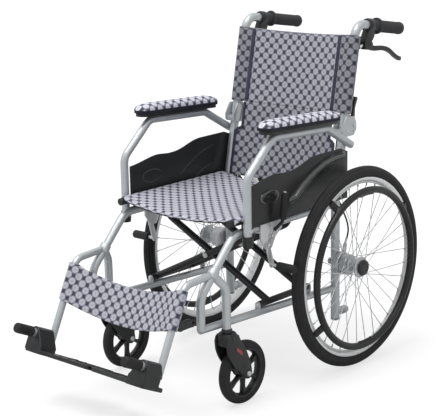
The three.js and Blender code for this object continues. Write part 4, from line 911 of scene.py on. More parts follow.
class WHEELCHAIR_OT_armrest(bpy.types.Operator):
    """Models the armrest tubes, their moulded bases and the moulded skirt guards"""

    bl_idname = "wheelchair.armrest"
    bl_label = "Armrests"

    def guard(self):
        """The skirt guard: a wavy sheet with the fender ridge and a boss outside, and their relief inside."""
        inner = FRAME_X + GUARD_FACE
        front = ARM_FRONT_Y + 0.0113
        foot = SEAT_TUBE_Z + 0.012
        outline = [(front, foot), (0.034, foot), (0.034, 0.588), (0.0, 0.600), (-0.105, 0.599)]
        outline += curve((-0.105, 0.599), (-0.150, 0.596), (-0.170, 0.578), 8, (-0.215, 0.576))
        outline += curve((-0.215, 0.576), (-0.245, 0.574), (-0.262, 0.580), 6, (-0.284, 0.579))
        outline += curve((-0.284, 0.579), (-0.318, 0.576), (-0.345, 0.566), 8, (front, 0.563))
        sheet = plate(outline, at(inner, 0, 0), Y, Z, 0.0035, 0.0010)
        start, end = math.pi * 0.755, math.pi * 0.475
        ridge = arc((0, AXLE_Z), TYRE_REACH + FENDER_CLEARANCE, start, end, 40)
        band = self.fender(inner + 0.0032, ridge)
        boss = turned(
            [(0.0, 0.0), (0.0185, 0.0), (0.0185, 0.0022), (0.0174, 0.0042), (0.0160, 0.0046),
             (0.0142, 0.0038), (0.0088, 0.0006), (0.0, 0.0004)],
            at(inner + 0.003, *GUARD_BOSS), X, 48)
        centre = at(0, *GUARD_BOSS)
        boss.matrix_world = Matrix.Translation(centre) @ Matrix.Scale(2.1, 4, Y) @ Matrix.Translation(-centre)
        settle(boss)
        inner_ridge = arc((0, AXLE_Z), TYRE_REACH - 0.008, math.pi * 0.70, math.pi * 0.51, 20)
        step = self.fender(inner + 0.0030, inner_ridge, width=0.006, height=0.0022)
        rivets = [bolt(at(inner + 0.003, y, z), X, 0.0045, 0.0022, plastic())
                  for y, z in ((-0.372, 0.475), (-0.372, 0.545), (0.022, 0.575))]
        y, z = GUARD_BOSS
        ellipse = [(y + 0.036 * u, z + 0.017 * v) for u, v in arc((0, 0), 1, 0, 2 * math.pi, 36)]
        upper = arc((0, AXLE_Z), TYRE_REACH + 0.016, math.pi * 0.735, math.pi * 0.53, 30)
        lower = arc((0, AXLE_Z), TYRE_REACH - 0.034, math.pi * 0.70, math.pi * 0.55, 20)
        backs = [
            self.fender(inner, ellipse, 0.0050, 0.0013, -1),
            self.fender(inner, upper, 0.0060, 0.0014, -1),
            self.fender(inner, lower, 0.0060, 0.0012, -1),
        ]
        glossy = coated(fender_plastic(), band, boss, *backs)
        return joined(*coated(plastic(), sheet, step), *glossy, *rivets)

    def fender(self, x, line, width=0.0205, height=0.0160, way=1):
        """A half round ridge along a line of (y, z) points, on the outer or, with way -1, the inner face."""
        section = [(-0.5, 0.0), (-0.44, 0.26), (-0.35, 0.54), (-0.22, 0.79), (-0.06, 0.95), (0.10, 1.0),
                   (0.28, 0.93), (0.42, 0.68), (0.5, 0.32), (0.5, 0.0)]

        def spot(column, row):
            before, after = neighbours(line, row)
            run = Vector((0, after[0] - before[0], after[1] - before[1])).normalized()
            fade = min(1.0, row / 3, (len(line) - 1 - row) / 3)
            share, rise = section[column]
            return at(x, *line[row]) + run.cross(X) * share * width + X * way * (rise * height * fade - 0.001)

        made = grid(len(section) - 1, len(line) - 1, spot)
        edit(made)
        bpy.ops.mesh.normals_make_consistent(inside=False)
        extrude(X * -0.0012 * way)
        bpy.ops.object.mode_set(mode="OBJECT")
        return close_up(made)

    def execute(self, context):
        tubes = sizes("frame")
        foot = at(ARM_X, ARM_FRONT_Y, ARM_FOOT_Z)
        corners = [(ARM_FRONT_Y, ARM_FOOT_Z), (ARM_FRONT_Y, ARM_SHOULDER_Z)]
        corners += [ARM_TOP_FRONT, ARM_TOP_REAR, ARM_END]
        tube = coat(bar([at(ARM_X, *corner) for corner in corners], tubes.tube_radius, 0.038), silver())
        plug = coat(turned([(0, -0.0015), (0.0095, -0.0015), (0.0108, 0.0), (0.0108, 0.003), (0, 0.003)],
                           foot, Z, 24), plastic())
        socket = coat(turned(
            [(0, -0.024), (0.0118, -0.024), (0.0132, -0.022), (0.0140, -0.006), (0.0140, 0.0055),
             (0.0132, 0.0065), (0.0112, 0.0065), (0.0112, -0.001), (0, -0.001)],
            foot, Z, 28), plastic())
        head = at(ARM_X + tubes.tube_radius - 0.0006, ARM_FRONT_Y, ARM_FOOT_Z + 0.020)
        screw = bolt(head, X, 0.0048, 0.0028)
        on_both_sides(joined(tube, plug, socket, screw), "armrest_tube")
        on_both_sides(self.guard(), "skirt_guard")
        for side in ("left", "right"):
            node_name = side + "_arm_pad_base"
            dress(refined(node_name, plastic(), 0.0016, 3), node_name)
        return {"FINISHED"}


class WHEELCHAIR_OT_arm_pad(bpy.types.Operator):
    """Models the stuffed arm pads with their cloth covers and seams"""

    bl_idname = "wheelchair.arm_pad"
    bl_label = "Arm pads"

    LENGTH = 0.316
    WIDTH = 0.050
    HEIGHT = 0.026
    FOOT = 0.0075
    CENTRE_Y = -0.186
    ROWS = 26
    COLUMNS = 28

    def across(self, column):
        """How far a column is from the middle, from -1 to 1, close together at the sides."""
        return math.sin((2 * column / self.COLUMNS - 1) * math.pi / 2)

    def along(self, row):
        """How far a row is from the middle, in the same way."""
        return math.sin((2 * row / self.ROWS - 1) * math.pi / 2)

    def spot(self, column, row):
        """A point of the pad's crown."""
        half_width, half_length = self.WIDTH / 2, self.LENGTH / 2
        edge, end = self.across(column), self.along(row)
        y = end * half_length
        tip = max(0.0, abs(y) - (half_length - half_width)) / half_width
        width = half_width * math.sqrt(max(1 - tip ** 2, 0.0)) if tip < 1 else 0.0
        crown = (1 - abs(edge) ** 3.2) ** 0.5 * (1 - abs(end) ** 9) ** 0.6
        return edge * max(width, 0.0006), y, self.FOOT + (self.HEIGHT - self.FOOT) * crown

    def flat_spot(self, column, row):
        """Where that point lies in the cover, which is a little wider than the pad."""
        x, y, _ = self.spot(column, row)
        return x + math.copysign(0.004 * abs(self.across(column)) ** 4, x), y

    def pad(self):
        """A crowned pad, laid flat at the origin: x across, y along, z up from its flat bottom."""
        made = grid(self.COLUMNS, self.ROWS, self.spot)
        lay_flat(made, self.COLUMNS, self.flat_spot)
        edit(made)
        bpy.ops.mesh.select_mode(type="VERT")
        bpy.ops.mesh.select_all(action="DESELECT")
        bpy.ops.mesh.select_non_manifold()
        extrude((0, 0, 0.0003 - self.FOOT))
        bpy.ops.mesh.edge_face_add()
        bpy.ops.mesh.select_mode(type="FACE")
        face_out(coat(made, painted_light_pad_cloth()))
        made.data.materials.append(binding())
        for face in made.data.polygons:
            face.material_index = 1 if face.center.z < self.FOOT - 0.0001 else 0
        return made

    def welt(self):
        """The sewn edge round the foot of the pad."""
        radius = self.WIDTH / 2 - 0.0004
        reach = self.LENGTH / 2 - self.WIDTH / 2
        height = self.FOOT - 0.0003
        points = [(x, y + reach, height) for x, y in arc((0, 0), radius, 0, math.pi, 12)]
        points += [(x, y - reach, height) for x, y in arc((0, 0), radius, math.pi, 2 * math.pi, 12)]
        return cord_of([*points, points[0]], 0.0013, binding(), 2)

    def execute(self, context):
        rise = ARM_TOP_REAR[1] - ARM_TOP_FRONT[1]
        run = ARM_TOP_REAR[0] - ARM_TOP_FRONT[0]
        tilt = math.atan2(rise, run)
        mid_y = (ARM_TOP_FRONT[0] + ARM_TOP_REAR[0]) / 2
        mid_z = (ARM_TOP_FRONT[1] + ARM_TOP_REAR[1]) / 2
        lift = sizes("frame").tube_radius + 0.0096
        turn = Matrix.Rotation(tilt, 4, "X") @ Matrix.Translation((0, self.CENTRE_Y - mid_y, lift))
        made = joined(self.pad(), self.welt())
        made.matrix_world = Matrix.Translation(at(ARM_X, mid_y, mid_z)) @ turn
        settle(made)
        for piece in on_both_sides(made, "arm_pad", 60):
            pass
        return {"FINISHED"}


class WHEELCHAIR_OT_leg_rest(bpy.types.Operator):
    """Models the leg rest tubes, clips, footplates and end caps"""

    bl_idname = "wheelchair.leg_rest"
    bl_label = "Leg rests"

    def clip(self):
        """The clip behind the leg tube, its block and its hook."""
        x = FRAME_X - 0.002
        barrel = turned(
            [(0, -0.009), (0.011, -0.009), (0.0125, -0.006), (0.0125, 0.006), (0.011, 0.009), (0, 0.009)],
            at(x, -0.628, 0.258), X, 24)
        back = block(at(x - 0.008, -0.622, 0.246), at(x + 0.008, -0.588, 0.268), 0.004)
        line = [(-0.592, 0.261), (-0.572, 0.261), (-0.572, 0.246), (-0.584, 0.246)]
        hook = bar([at(x, *corner) for corner in line], 0.0026, 0.006, 12)
        return barrel, back, hook

    def execute(self, context):
        tubes = sizes("frame")
        down = Vector((0, -LEG_RUN, -LEG_RISE)).normalized()
        forward = Vector((0, -math.cos(LEG_TILT), math.sin(LEG_TILT)))
        pivot = at(FRAME_X, *FOOT_PIVOT)
        start = at(FRAME_X, *LEG_START)
        line = [start, at(FRAME_X, *LEG_KNEE), pivot + down * 0.02]
        leg = coat(bar(line, tubes.leg_radius, 0.036), silver())
        stem = coat(bar([pivot, pivot + forward * PIVOT_REACH], tubes.tube_radius, 0, 24), silver())
        band = Vector((0, LEG_START[0] - FRONT_LEG_Y, LEG_START[1] - FRONT_ANKLE_Z)).normalized()
        collar = coat(turned(
            [(0.0113, -0.011), (0.0140, -0.011), (0.0145, -0.0095), (0.0145, 0.0095), (0.0140, 0.011),
             (0.0113, 0.011)],
            start, band, 32), silver())
        plug = coat(turned([(0, 0), (0.0088, 0), (0.0098, 0.0015), (0.0098, 0.006), (0, 0.006)],
                           pivot + down * 0.021, -down, 24), plastic())
        on_both_sides(joined(leg, stem, collar, plug, *coated(plastic(), *self.clip())), "legrest")
        for side in ("left", "right"):
            node_name = side + "_footplate"
            dress(refined(node_name, plastic(), 0.0012, 2, 50), node_name)
        cap = turned(
            [(0, 0), (0.0125, 0), (0.0135, 0.0012), (0.0135, 0.012), (0.0128, 0.0135), (0.0128, 0.016),
             (0.0135, 0.0175), (0.0135, 0.050), (0.0125, 0.0535), (0.0095, 0.056), (0, 0.056)],
            pivot + forward * (PIVOT_REACH + 0.0003), forward, 32)
        on_both_sides(coat(cap, rubber()), "footrest_cap")
        return {"FINISHED"}


class WHEELCHAIR_OT_caster(bpy.types.Operator):
    """Models the front casters and their forks"""

    bl_idname = "wheelchair.caster"
    bl_label = "Casters"

    RADIUS = 0.08395
    HALF = 0.014
    SPOKES = 6

    def execute(self, context):
        centre = at(CASTER_X, CASTER_Y, CASTER_Z)
        r, h = self.RADIUS, self.HALF
        tyre = [(r - 0.020, -h + 0.001)]
        for angle in round_angles(28)[1:14]:
            tyre.append((r - 0.009 + 0.009 * math.sin(angle), (h - 0.001) * -math.cos(angle)))
        tyre += [(r - 0.020, h - 0.001), (r - 0.023, h - 0.004), (r - 0.023, -h + 0.004)]
        ring = coat(turned(tyre, centre, X, 64), rubber())
        rim = coat(turned(
            [(r - 0.0235, -h + 0.0025), (r - 0.0205, -h + 0.001), (r - 0.0195, -h + 0.0022),
             (r - 0.0195, h - 0.0022), (r - 0.0205, h - 0.001), (r - 0.0235, h - 0.0025), (r - 0.0275, 0.004),
             (r - 0.0275, -0.004)],
            centre, X, 64), plastic())
        hub = coat(turned(
            [(0.0045, -h - 0.002), (0.012, -h - 0.002), (0.0160, -h + 0.001), (0.017, 0), (0.0160, h - 0.001),
             (0.012, h + 0.002), (0.0045, h + 0.002)],
            centre, X, 36), plastic())
        parts = [ring, rim, hub]
        outline = [(-0.0062, 0.012), (0.0062, 0.012), (0.0040, 0.034), (0.0066, r - 0.026),
                   (-0.0066, r - 0.026), (-0.0040, 0.034)]
        for angle in round_angles(self.SPOKES):
            spoke = plate(outline, -X * 0.0065, Y, Z, 0.013, 0.0016)
            spoke.matrix_world = Matrix.Translation(centre) @ Matrix.Rotation(angle, 4, "X")
            parts.append(coat(settle(spoke), plastic()))
        on_both_sides(joined(*parts), "caster_wheel")
        on_both_sides(self.fork(), "caster_fork")
        return {"FINISHED"}

    def fork(self):
        """The moulded fork: a round crown, two legs with their inlays, the stem and the axle bolt."""
        top = CASTER_BARREL_Z - 0.0005
        inner = self.HALF + 0.003
        thick = 0.0055
        trail = CASTER_Y - CASTER_STEM_Y
        crown = turned(
            [(0, -0.030), (0.0215, -0.030), (0.0240, -0.026), (0.0248, -0.012), (0.0240, -0.004),
             (0.0215, -0.0008), (0.0150, 0.0), (0, 0.0)],
            at(CASTER_X, CASTER_STEM_Y + 0.0015, top), Z, 40)
        stem = turned([(0, -0.004), (0.0060, -0.004), (0.0060, 0.046), (0, 0.046)],
                      at(CASTER_X, CASTER_STEM_Y, top), Z, 20)
        outline = [(-0.014, top - 0.003), (-0.021, top - 0.009), (-0.0245, top - 0.020)]
        outline += curve(
            (-0.0245, top - 0.032), (-0.016, CASTER_Z + 0.040), (trail - 0.0145, CASTER_Z - 0.002), 10)
        outline += arc((trail, CASTER_Z), 0.0142, math.pi * 1.06, math.pi * 2.0, 10)
        outline += curve(
            (trail + 0.0142, CASTER_Z + 0.004), (trail + 0.006, CASTER_Z + 0.054), (0.027, top - 0.020), 10)
        outline += [(0.022, top - 0.008), (0.014, top - 0.003)]
        parts = [coat(crown, plastic()), coat(stem, steel())]
        web = block(at(CASTER_X - inner - 0.001, CASTER_STEM_Y - 0.020, top - 0.034),
                    at(CASTER_X + inner + 0.001, CASTER_STEM_Y + 0.022, top - 0.010), 0.004)
        along, across = Vector((0, 0.50, -0.866)), Vector((0, 0.866, 0.50))
        for way in (-1, 1):
            side = CASTER_X + way * inner
            leg = plate(outline, at(min(side, side + way * thick), CASTER_STEM_Y, 0), Y, Z, thick, 0.0021, 3)
            parts.append(coat(leg, plastic()))
            face = side + way * (thick - 0.0004)
            start = min(face, face + way * 0.0011)
            mark = plate([(-0.017, -0.002), (-0.008, -0.0072), (0.017, 0.002), (0.008, 0.0072)],
                         at(start, CASTER_STEM_Y + 0.022, top - 0.052), along, across, 0.0011)
            parts.append(coat(close_up(mark), accent()))
            parts.append(bolt(at(face, CASTER_Y, CASTER_Z), X * way, 0.0072, 0.0055))
        return joined(*parts, coat(web, plastic()))


class WHEELCHAIR_OT_rear_wheel(bpy.types.Operator):
    """Models the tyres, spoked rims, push rims, axles and hub brakes"""

    bl_idname = "wheelchair.rear_wheel"
    bl_label = "Rear wheels"

    TREAD_HALF_ANGLE = 1.05
    RIB_DEPTH = 0.0014
    LACING_RADIUS = 0.024
    LACING_TURN = 1.05
    FIRST_TAB = 0.66
    BUMP_RADIUS = 0.0062

    def tyre(self, hub):
        """The tyre, with ribs round its tread."""
        section = sizes("wheels").tyre_section
        centre = AXLE_Z - section
        profile = []
        for i, angle in enumerate(round_angles(44)):
            on_tread = min(angle, 2 * math.pi - angle) < self.TREAD_HALF_ANGLE
            radius = section - (self.RIB_DEPTH if on_tread and i % 4 in (1, 2) else 0.0)
            profile.append((centre + radius * math.cos(angle), radius * 0.98 * math.sin(angle)))
        return coat(turned(profile, hub, X, 120), rubber())

    def spoke(self, hub, side, rim_angle, lean, radius):
        """A crossed spoke, from one flange of the hub to the rim."""
        foot = hub + X * side + from_axle(rim_angle + lean * self.LACING_TURN) * self.LACING_RADIUS
        return bar([foot, hub + from_axle(rim_angle) * radius], 0.0011, 0, 6)

    def wheel(self, hub):
        """The rim, the hub with its two flanges, and the crossed spokes with their nipples."""
        wheels = sizes("wheels")
        edge = wheels.rim_radius
        seat = AXLE_Z - 2 * wheels.tyre_section + 0.0015
        inner = seat - 0.014
        half = [(edge - 0.0008, 0.0090), (edge, 0.0108), (edge - 0.0022, 0.0116), (edge - 0.008, 0.0112),
                (inner + 0.003, 0.0068), (inner, 0.0045)]
        outline = [(seat - 0.002, 0.0075), *half]
        outline += [(radius, -along) for radius, along in reversed(outline)]
        parts = [coat(turned(outline, hub, X, 96), polished())]
        a, b = HUB_SIDES
        parts.append(coat(turned(
            [(0.0064, a), (0.026, a), (0.0285, a + 0.0015), (0.029, a + 0.0105), (0.029, a + 0.0195),
             (0.0275, a + 0.0215), (0.018, a + 0.0225), (0.0145, a + 0.026), (0.013, a + 0.034),
             (0.013, b - 0.014), (0.016, b - 0.0105), (0.0275, b - 0.0088), (0.0288, b - 0.0075),
             (0.0288, b - 0.0050), (0.0275, b - 0.0038), (0.018, b - 0.002), (0.0155, b), (0.0064, b)],
            hub, X, 48), silver()))
        for i, angle in enumerate(round_angles(wheels.spokes)):
            lean = 1 if (i // 2) % 2 == 0 else -1
            side = (a + 0.020 if i % 2 == 0 else b - 0.0065) + lean * 0.0019
            out = from_axle(angle)
            foot = hub + out * (inner - 0.0085)
            nipple = turned([(0, 0), (0.0019, 0), (0.0024, 0.009), (0, 0.010)], foot, out, 6)
            parts += coated(steel(), self.spoke(hub, side, angle, lean, inner + 0.002), nipple)
        return joined(*parts)

    def push_rim(self, hub):
        """The push rim with its four stand-offs and its finger bumps."""
        wheels = sizes("wheels")
        reach, edge = PUSH_RIM_REACH, wheels.rim_radius
        ring_r, tube_r = wheels.push_rim_radius, wheels.push_rim_tube
        profile = [(ring_r + tube_r * math.cos(a), tube_r * math.sin(a)) for a in round_angles(16)]
        parts = [turned(profile, hub + X * reach, X, 96)]
        outline = [(reach + 0.003, ring_r + 0.004), (reach - 0.007, ring_r - 0.004), (0.0120, edge - 0.012),
                   (0.0114, edge - 0.001), (0.0165, edge - 0.0004), (reach - 0.002, ring_r + 0.010),
                   (reach + 0.003, ring_r + 0.0085)]
        for angle in round_angles(4):
            out = from_axle(angle + self.FIRST_TAB)
            parts.append(close_up(plate(outline, hub - X.cross(out) * 0.009, X, out, -0.018, 0.0016)))
        bumps = wheels.bumps
        for i in range(4 * bumps):
            group, place = divmod(i, bumps)
            out = from_axle(group * math.pi / 2 + (place - (bumps - 1) / 2) * BUMP_SPACING)
            fresh()
            bpy.ops.mesh.primitive_uv_sphere_add(
                segments=14, ring_count=8, radius=self.BUMP_RADIUS,
                location=hub + X * reach + out * (ring_r - tube_r + 0.0022))
            parts.append(settle(bpy.context.object))
        return coat(joined(*parts), enamel())

    def axle(self, hub):
        """The axle with its hub cap and the nut behind the post."""
        cap = coat(turned(
            [(0, 0.017), (0.020, 0.017), (0.0222, 0.0185), (0.0222, 0.0215), (0.0205, 0.0240),
             (0.0150, 0.0256), (0.0120, 0.0262), (0.0105, 0.0250), (0, 0.0246)],
            hub, X, 40), plastic())
        tip = FRAME_X - 0.0208 - WHEEL_X
        shaft = turned([(0, tip), (0.006, tip), (0.006, 0.0175), (0, 0.0175)], hub, X, 24)
        start, end = tip + 0.001, tip + 0.008
        nut = turned([(0, start), (0.0098, start), (0.0098, end), (0, end)], hub, X, 6)
        return joined(cap, *coated(steel(), shaft, nut))

    def brake(self, hub):
        """The hub brake's drum and the arm that its cable pulls."""
        inner, outer = (side - WHEEL_X for side in DRUM_SIDES)
        drum = turned(
            [(0.0064, inner), (0.026, inner), (0.031, inner + 0.0035), (0.032, inner + 0.005),
             (0.032, inner + 0.008), (0.0308, inner + 0.0085), (0.0308, inner + 0.0095),
             (0.032, inner + 0.010), (0.032, outer - 0.003), (0.030, outer), (0.0064, outer)],
            hub, X, 48)
        outline = [(0.010, 0.014), (0.022, 0.008), (0.031, 0.044), (0.029, 0.050), (0.022, 0.053),
                   (0.018, 0.050)]
        arm = plate(outline, at(DRUM_SIDES[0] + 0.001, 0, AXLE_Z), Y, Z, 0.0045, 0.0008)
        pin = bolt(at(DRUM_SIDES[0] + 0.005, 0.0245, AXLE_Z + 0.0465), X, 0.0042, 0.003)
        return joined(*coated(steel(), drum, arm), pin)

    def execute(self, context):
        hub = at(WHEEL_X, 0, AXLE_Z)
        on_both_sides(self.tyre(hub), "rear_tyre")
        on_both_sides(self.wheel(hub), "rear_wheel")
        on_both_sides(self.push_rim(hub), "push_rim")
        on_both_sides(self.axle(hub), "rear_axle")
        on_both_sides(self.brake(hub), "hub_brake")
        return {"FINISHED"}


class WHEELCHAIR_OT_parking_brake(bpy.types.Operator):
    """Models the parking brake brackets, hand levers and roller arms"""

    bl_idname = "wheelchair.parking_brake"
    bl_label = "Parking brakes"

    def lever(self):
        """The hand lever: a pivot blade, a bent shaft and a rubber sleeve with its end screw."""
        y, z = PARK_PIVOT
        outline = arc(PARK_PIVOT, 0.009, math.pi, math.pi * 1.9, 10)
        outline += [(y + 0.018, z + 0.020), (y + 0.006, z + 0.025)]
        blade = plate(outline, at(PARK_PLATE_X, 0, 0), Y, Z, 0.004, 0.0007)
        shaft = bar(
            [at(PARK_PLATE_X + 0.0048, y + 0.010, z + 0.014), at(PARK_HANDLE_X, y + 0.014, z + 0.038),
             at(PARK_HANDLE_X, PARK_HANDLE_TOP[0] - 0.002, PARK_HANDLE_TOP[1] - 0.02)],
            0.0045, 0.008, 14)
        foot = at(PARK_HANDLE_X, y + 0.016, z + 0.044)
        top = at(PARK_HANDLE_X, *PARK_HANDLE_TOP)
        reach = (top - foot).length
        sleeve = turned(
            [(0.0048, 0), (0.0078, 0), (0.0090, 0.002), (0.0090, reach - 0.010), (0.0082, reach - 0.004),
             (0.0060, reach - 0.001), (0, reach)],
            foot, top - foot, 24)
        knob = bolt(top - (top - foot).normalized() * 0.0008, top - foot, 0.0042, 0.003)
        return joined(coat(blade, steel()), coat(shaft, enamel()), coat(sleeve, rubber()), knob)

    def shoe(self):
        """The arm with the roller that presses on the tyre."""
        outline = arc(PARK_ARM_PIVOT, 0.008, 0.3, math.pi * 1.05, 8)
        outline += arc(PARK_ROLLER, 0.0085, math.pi * 1.05, math.pi * 2.1, 10)
        arm = plate(outline, at(PARK_PLATE_X, 0, 0), Y, Z, 0.004, 0.0007)
        near, far = PARK_ROLLER_X
        centre = at(PARK_PLATE_X, *PARK_ROLLER)
        roller = turned(
            [(0, near), (0.0100, near), (0.0115, near + 0.0015), (0.0115, far - 0.0025), (0.0100, far),
             (0, far + 0.0004)],
            centre, X, 32)
        stub = turned([(0, 0.001), (0.0045, 0.001), (0.0045, near + 0.001), (0, near + 0.001)], centre, X, 20)
        return joined(*coated(steel(), arm, stub), coat(roller, rubber()))

    def execute(self, context):
        screw = (PARK_PIVOT[0] + 0.036, SEAT_TUBE_Z - 0.003)
        for side, sign in SIDES:
            bracket = refined(side + "_brake_bracket", steel(), 0.0008, 2)
            heads = [bolt(at(sign * (PARK_PLATE_X + 0.0078), *place), X * sign, 0.0055, 0.0032)
                     for place in (PARK_PIVOT, PARK_ARM_PIVOT)]
            heads.append(bolt(at(sign * (PARK_PLATE_X - 0.0012), *screw), X * sign, 0.0048, 0.0026))
            dress(joined(bracket, *heads), side + "_brake_bracket")
        on_both_sides(self.lever(), "brake_lever")
        on_both_sides(self.shoe(), "brake_shoe")
        return {"FINISHED"}


class WHEELCHAIR_OT_folding_back(bpy.types.Operator):
    """Models the back hinges, the canes bent to the push handles and the release levers"""

    bl_idname = "wheelchair.folding_back"
    bl_label = "Folding back"

    def execute(self, context):
        tubes = sizes("frame")
        foot_z = POST_TOP_Z + 0.001
        foot = at(FRAME_X, lean_y(foot_z), foot_z)
        cane = coat(bar([foot, handle_at(lean_y(HANDLE_CORNER_Z)), HANDLE_TIP], tubes.post_radius, 0.038, 24,
                        math.radians(7)), silver())
        outline = arc((HINGE_Y, HINGE_Z), 0.008, -math.pi / 2, 0, 6)
        outline += arc(RELEASE_PIVOT, 0.006, 0, math.pi / 2, 6)
        outline += [(lean_y(HINGE_Z + 0.034), HINGE_Z + 0.034), (lean_y(HINGE_Z), HINGE_Z - 0.003)]
        ear = coat(plate(outline, at(FRAME_X - 0.0045, 0, 0), Y, Z, 0.009, 0.0008), silver())
        pin = bolt(at(FRAME_X + 0.0110, *RELEASE_PIVOT), X, 0.0035, 0.002)
        on_both_sides(joined(cane, ear, pin), "back_cane")
        places = ((lean_y(HINGE_SCREW_Z) - 0.004, HINGE_SCREW_Z), (HINGE_Y + 0.001, HINGE_Z - 0.016))
        for side, sign in SIDES:
            node_name = side + "_hinge_bracket"
            bracket = refined(node_name, silver(), 0.0014, 2, 50)
            x = sign * (FRAME_X + HINGE_FACE)
            screws = [bolt(at(x, *place), X * sign, 0.0042, 0.0024) for place in places]
            dress(joined(bracket, *screws), node_name)
            node_name = side + "_release_lever"
            dress(refined(node_name, plastic(), 0.0012, 2), node_name)
        return {"FINISHED"}


class WHEELCHAIR_OT_handle(bpy.types.Operator):
    """Models the push grips, brake lever clamps, hand levers and cables"""

    bl_idname = "wheelchair.handle"
    bl_label = "Push handles"

    SLEEVE_END = 0.1465
    RIBS = 22

    def grip(self):
        """The ribbed push grip with its collar, and the sleeve that goes on under the brake clamp."""
        profile = [(0, -0.0053), (0.0110, -0.0053), (0.0150, -0.0035), (0.0176, 0.0005), (0.0180, 0.0050),
                   (0.0172, 0.0095)]
        start, end = 0.013, GRIP_LENGTH - 0.020
        pitch = (end - start) / self.RIBS
        for i in range(self.RIBS):
            place = start + pitch * i
            profile += [(0.0165, place), (0.0169, place + pitch * 0.25), (0.0169, place + pitch * 0.6),
                        (0.0160, place + pitch * 0.78)]
        profile += [(radius, GRIP_LENGTH - back) for radius, back in (
            (0.0165, 0.019), (0.0175, 0.014), (0.0225, 0.011), (0.0230, 0.0095), (0.0230, 0.0070),
            (0.0222, 0.0055), (0.0150, 0.0050))]
        profile += [(0.0150, self.SLEEVE_END), (0.0130, self.SLEEVE_END), (0.0130, -0.0002), (0, -0.0002)]
        return coat(turned(profile, HANDLE_TIP, HANDLE_LINE, 36), grip_rubber())

    def cable(self):
        """The brake cable, down the cane and the post to the hub brake, with its two metal ends."""
        y, z = LEVER_PIVOT
        root = handle_at(y).x
        points = [at(root, y - 0.028, z + 0.001), at(root - 0.003, y - 0.041, z - 0.008),
                  at(CABLE_X + 0.006, y - 0.050, z - 0.036)]
        points += [at(CABLE_X, lean_y(height) + behind, height) for height, behind in (
            (0.780, 0.014), (0.710, 0.014), (0.640, 0.012), (0.560, 0.014))]
        points += [at(CABLE_X + 0.005, 0.024, 0.480), at(CABLE_X + 0.016, 0.044, 0.420),
                   at(CABLE_X + 0.030, 0.052, 0.370)]
        points += [at(FRAME_X + 0.0163, 0.034, AXLE_Z + 0.070), at(FRAME_X + 0.0163, 0.024, AXLE_Z + 0.051)]
        line = cord_of(points, 0.0025, plastic())
        barrel = turned([(0, 0), (0.0036, 0), (0.0040, 0.002), (0.0040, 0.010), (0.0030, 0.014), (0, 0.014)],
                        points[0] + Vector((0, 0.002, 0.0005)), points[1] - points[0], 16)
        end = turned([(0, 0), (0.0033, 0), (0.0033, 0.014), (0.0026, 0.018), (0, 0.018)],
                     points[-1], points[-2] - points[-1], 14)
        return joined(line, *coated(steel(), barrel, end))

    def execute(self, context):
        on_both_sides(self.grip(), "hand_grip", 50)
        cable = self.cable()
        for side, piece in zip(("left", "right"), (cable, mirrored(cable))):
            stand_in(piece, side + "_brake_cable", 40)
            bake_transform(piece)
            for part, width in (("_hand_brake_clamp", 0.0016), ("_hand_brake_lever", 0.0024)):
                dress(refined(side + part, plastic(), width, 3), side + part, 45)
        return {"FINISHED"}


class WHEELCHAIR_OT_cross_brace(bpy.types.Operator):
    """Models the two cross braces with their seat rails, pivot tubes and bolts"""

    bl_idname = "wheelchair.cross_brace"
    bl_label = "Cross braces"

    def brace(self, shift):
        """One brace, right lower rail to left seat rail: two bars, the pivot tube and the seat rail."""
        tubes = sizes("frame")
        slope = BRACE_RISE / FRAME_X
        parts = []
        for place in BRACE_PLACES:
            y = place + shift
            bend = at(BRACE_BEND_X, y, BRACE_CENTRE_Z + slope * BRACE_BEND_X)
            line = [at(-FRAME_X, y, BRACE_PIVOT_Z), bend, at(FRAME_X - BRACE_TOP_INSET, y, SEAT_RAIL_Z)]
            parts.append(coat(bar(line, tubes.brace_radius, 0.030), enamel()))
        low, high = BRACE_TUBE_Y
        parts.append(coat(turned(
            [(0.0055, low), (0.0082, low), (0.0088, low + 0.001), (0.0088, high - 0.001), (0.0082, high),
             (0.0055, high)], at(-FRAME_X, 0, BRACE_PIVOT_Z), Y, 24), enamel()))
        rail = [at(FRAME_X, y, SEAT_RAIL_Z) for y in SEAT_RAIL_Y]
        parts.append(coat(bar(rail, tubes.rail_radius), enamel()))
        for y, way in zip(SEAT_RAIL_Y, (-1, 1)):
            parts.append(coat(turned([(0, 0), (0.0098, 0), (0.0088, 0.0018), (0, 0.0024)],
                                     at(FRAME_X, y - 0.0002 * way, SEAT_RAIL_Z), Y * way, 24), plastic()))
        return joined(*parts)

    def execute(self, context):
        first = self.brace(-BRACE_STEP / 2)
        second = flipped(self.brace(BRACE_STEP / 2))
        reach = BRACE_STEP / 2 + sizes("frame").brace_radius
        heads = []
        for place in BRACE_PLACES:
            heads.append(bolt(at(0, place - reach, BRACE_CENTRE_Z), -Y, 0.0078, 0.0045))
            heads.append(coat(turned([(0, 0), (0.008, 0), (0.008, 0.005), (0, 0.005)],
                                     at(0, place + reach + 0.0008, BRACE_CENTRE_Z), Y, 6), steel()))
        dress(joined(first, *heads), "cross_brace_a")
        dress(second, "cross_brace_b")
        return {"FINISHED"}


def panel(columns, rows, place, material, thick):
    """A sheet of cloth. For u and v from 0 to 1, place(u, v) gives a point and its spot in the flat cloth."""
    laid = [place(column / columns, row / rows) for row in range(rows + 1) for column in range(columns + 1)]
    made = grid(columns, rows, lambda column, row: laid[row * (columns + 1) + column][0])
    made.data.uv_layers.active.name = "UVMap"
    lay_flat(made, columns, lambda column, row: laid[row * (columns + 1) + column][1])
    face_out(coat(made, material))
    apply_modifier(made, "SOLIDIFY", thickness=thick, offset=0, use_even_offset=True)
    return softened(made, 0.0004, 1, 60)


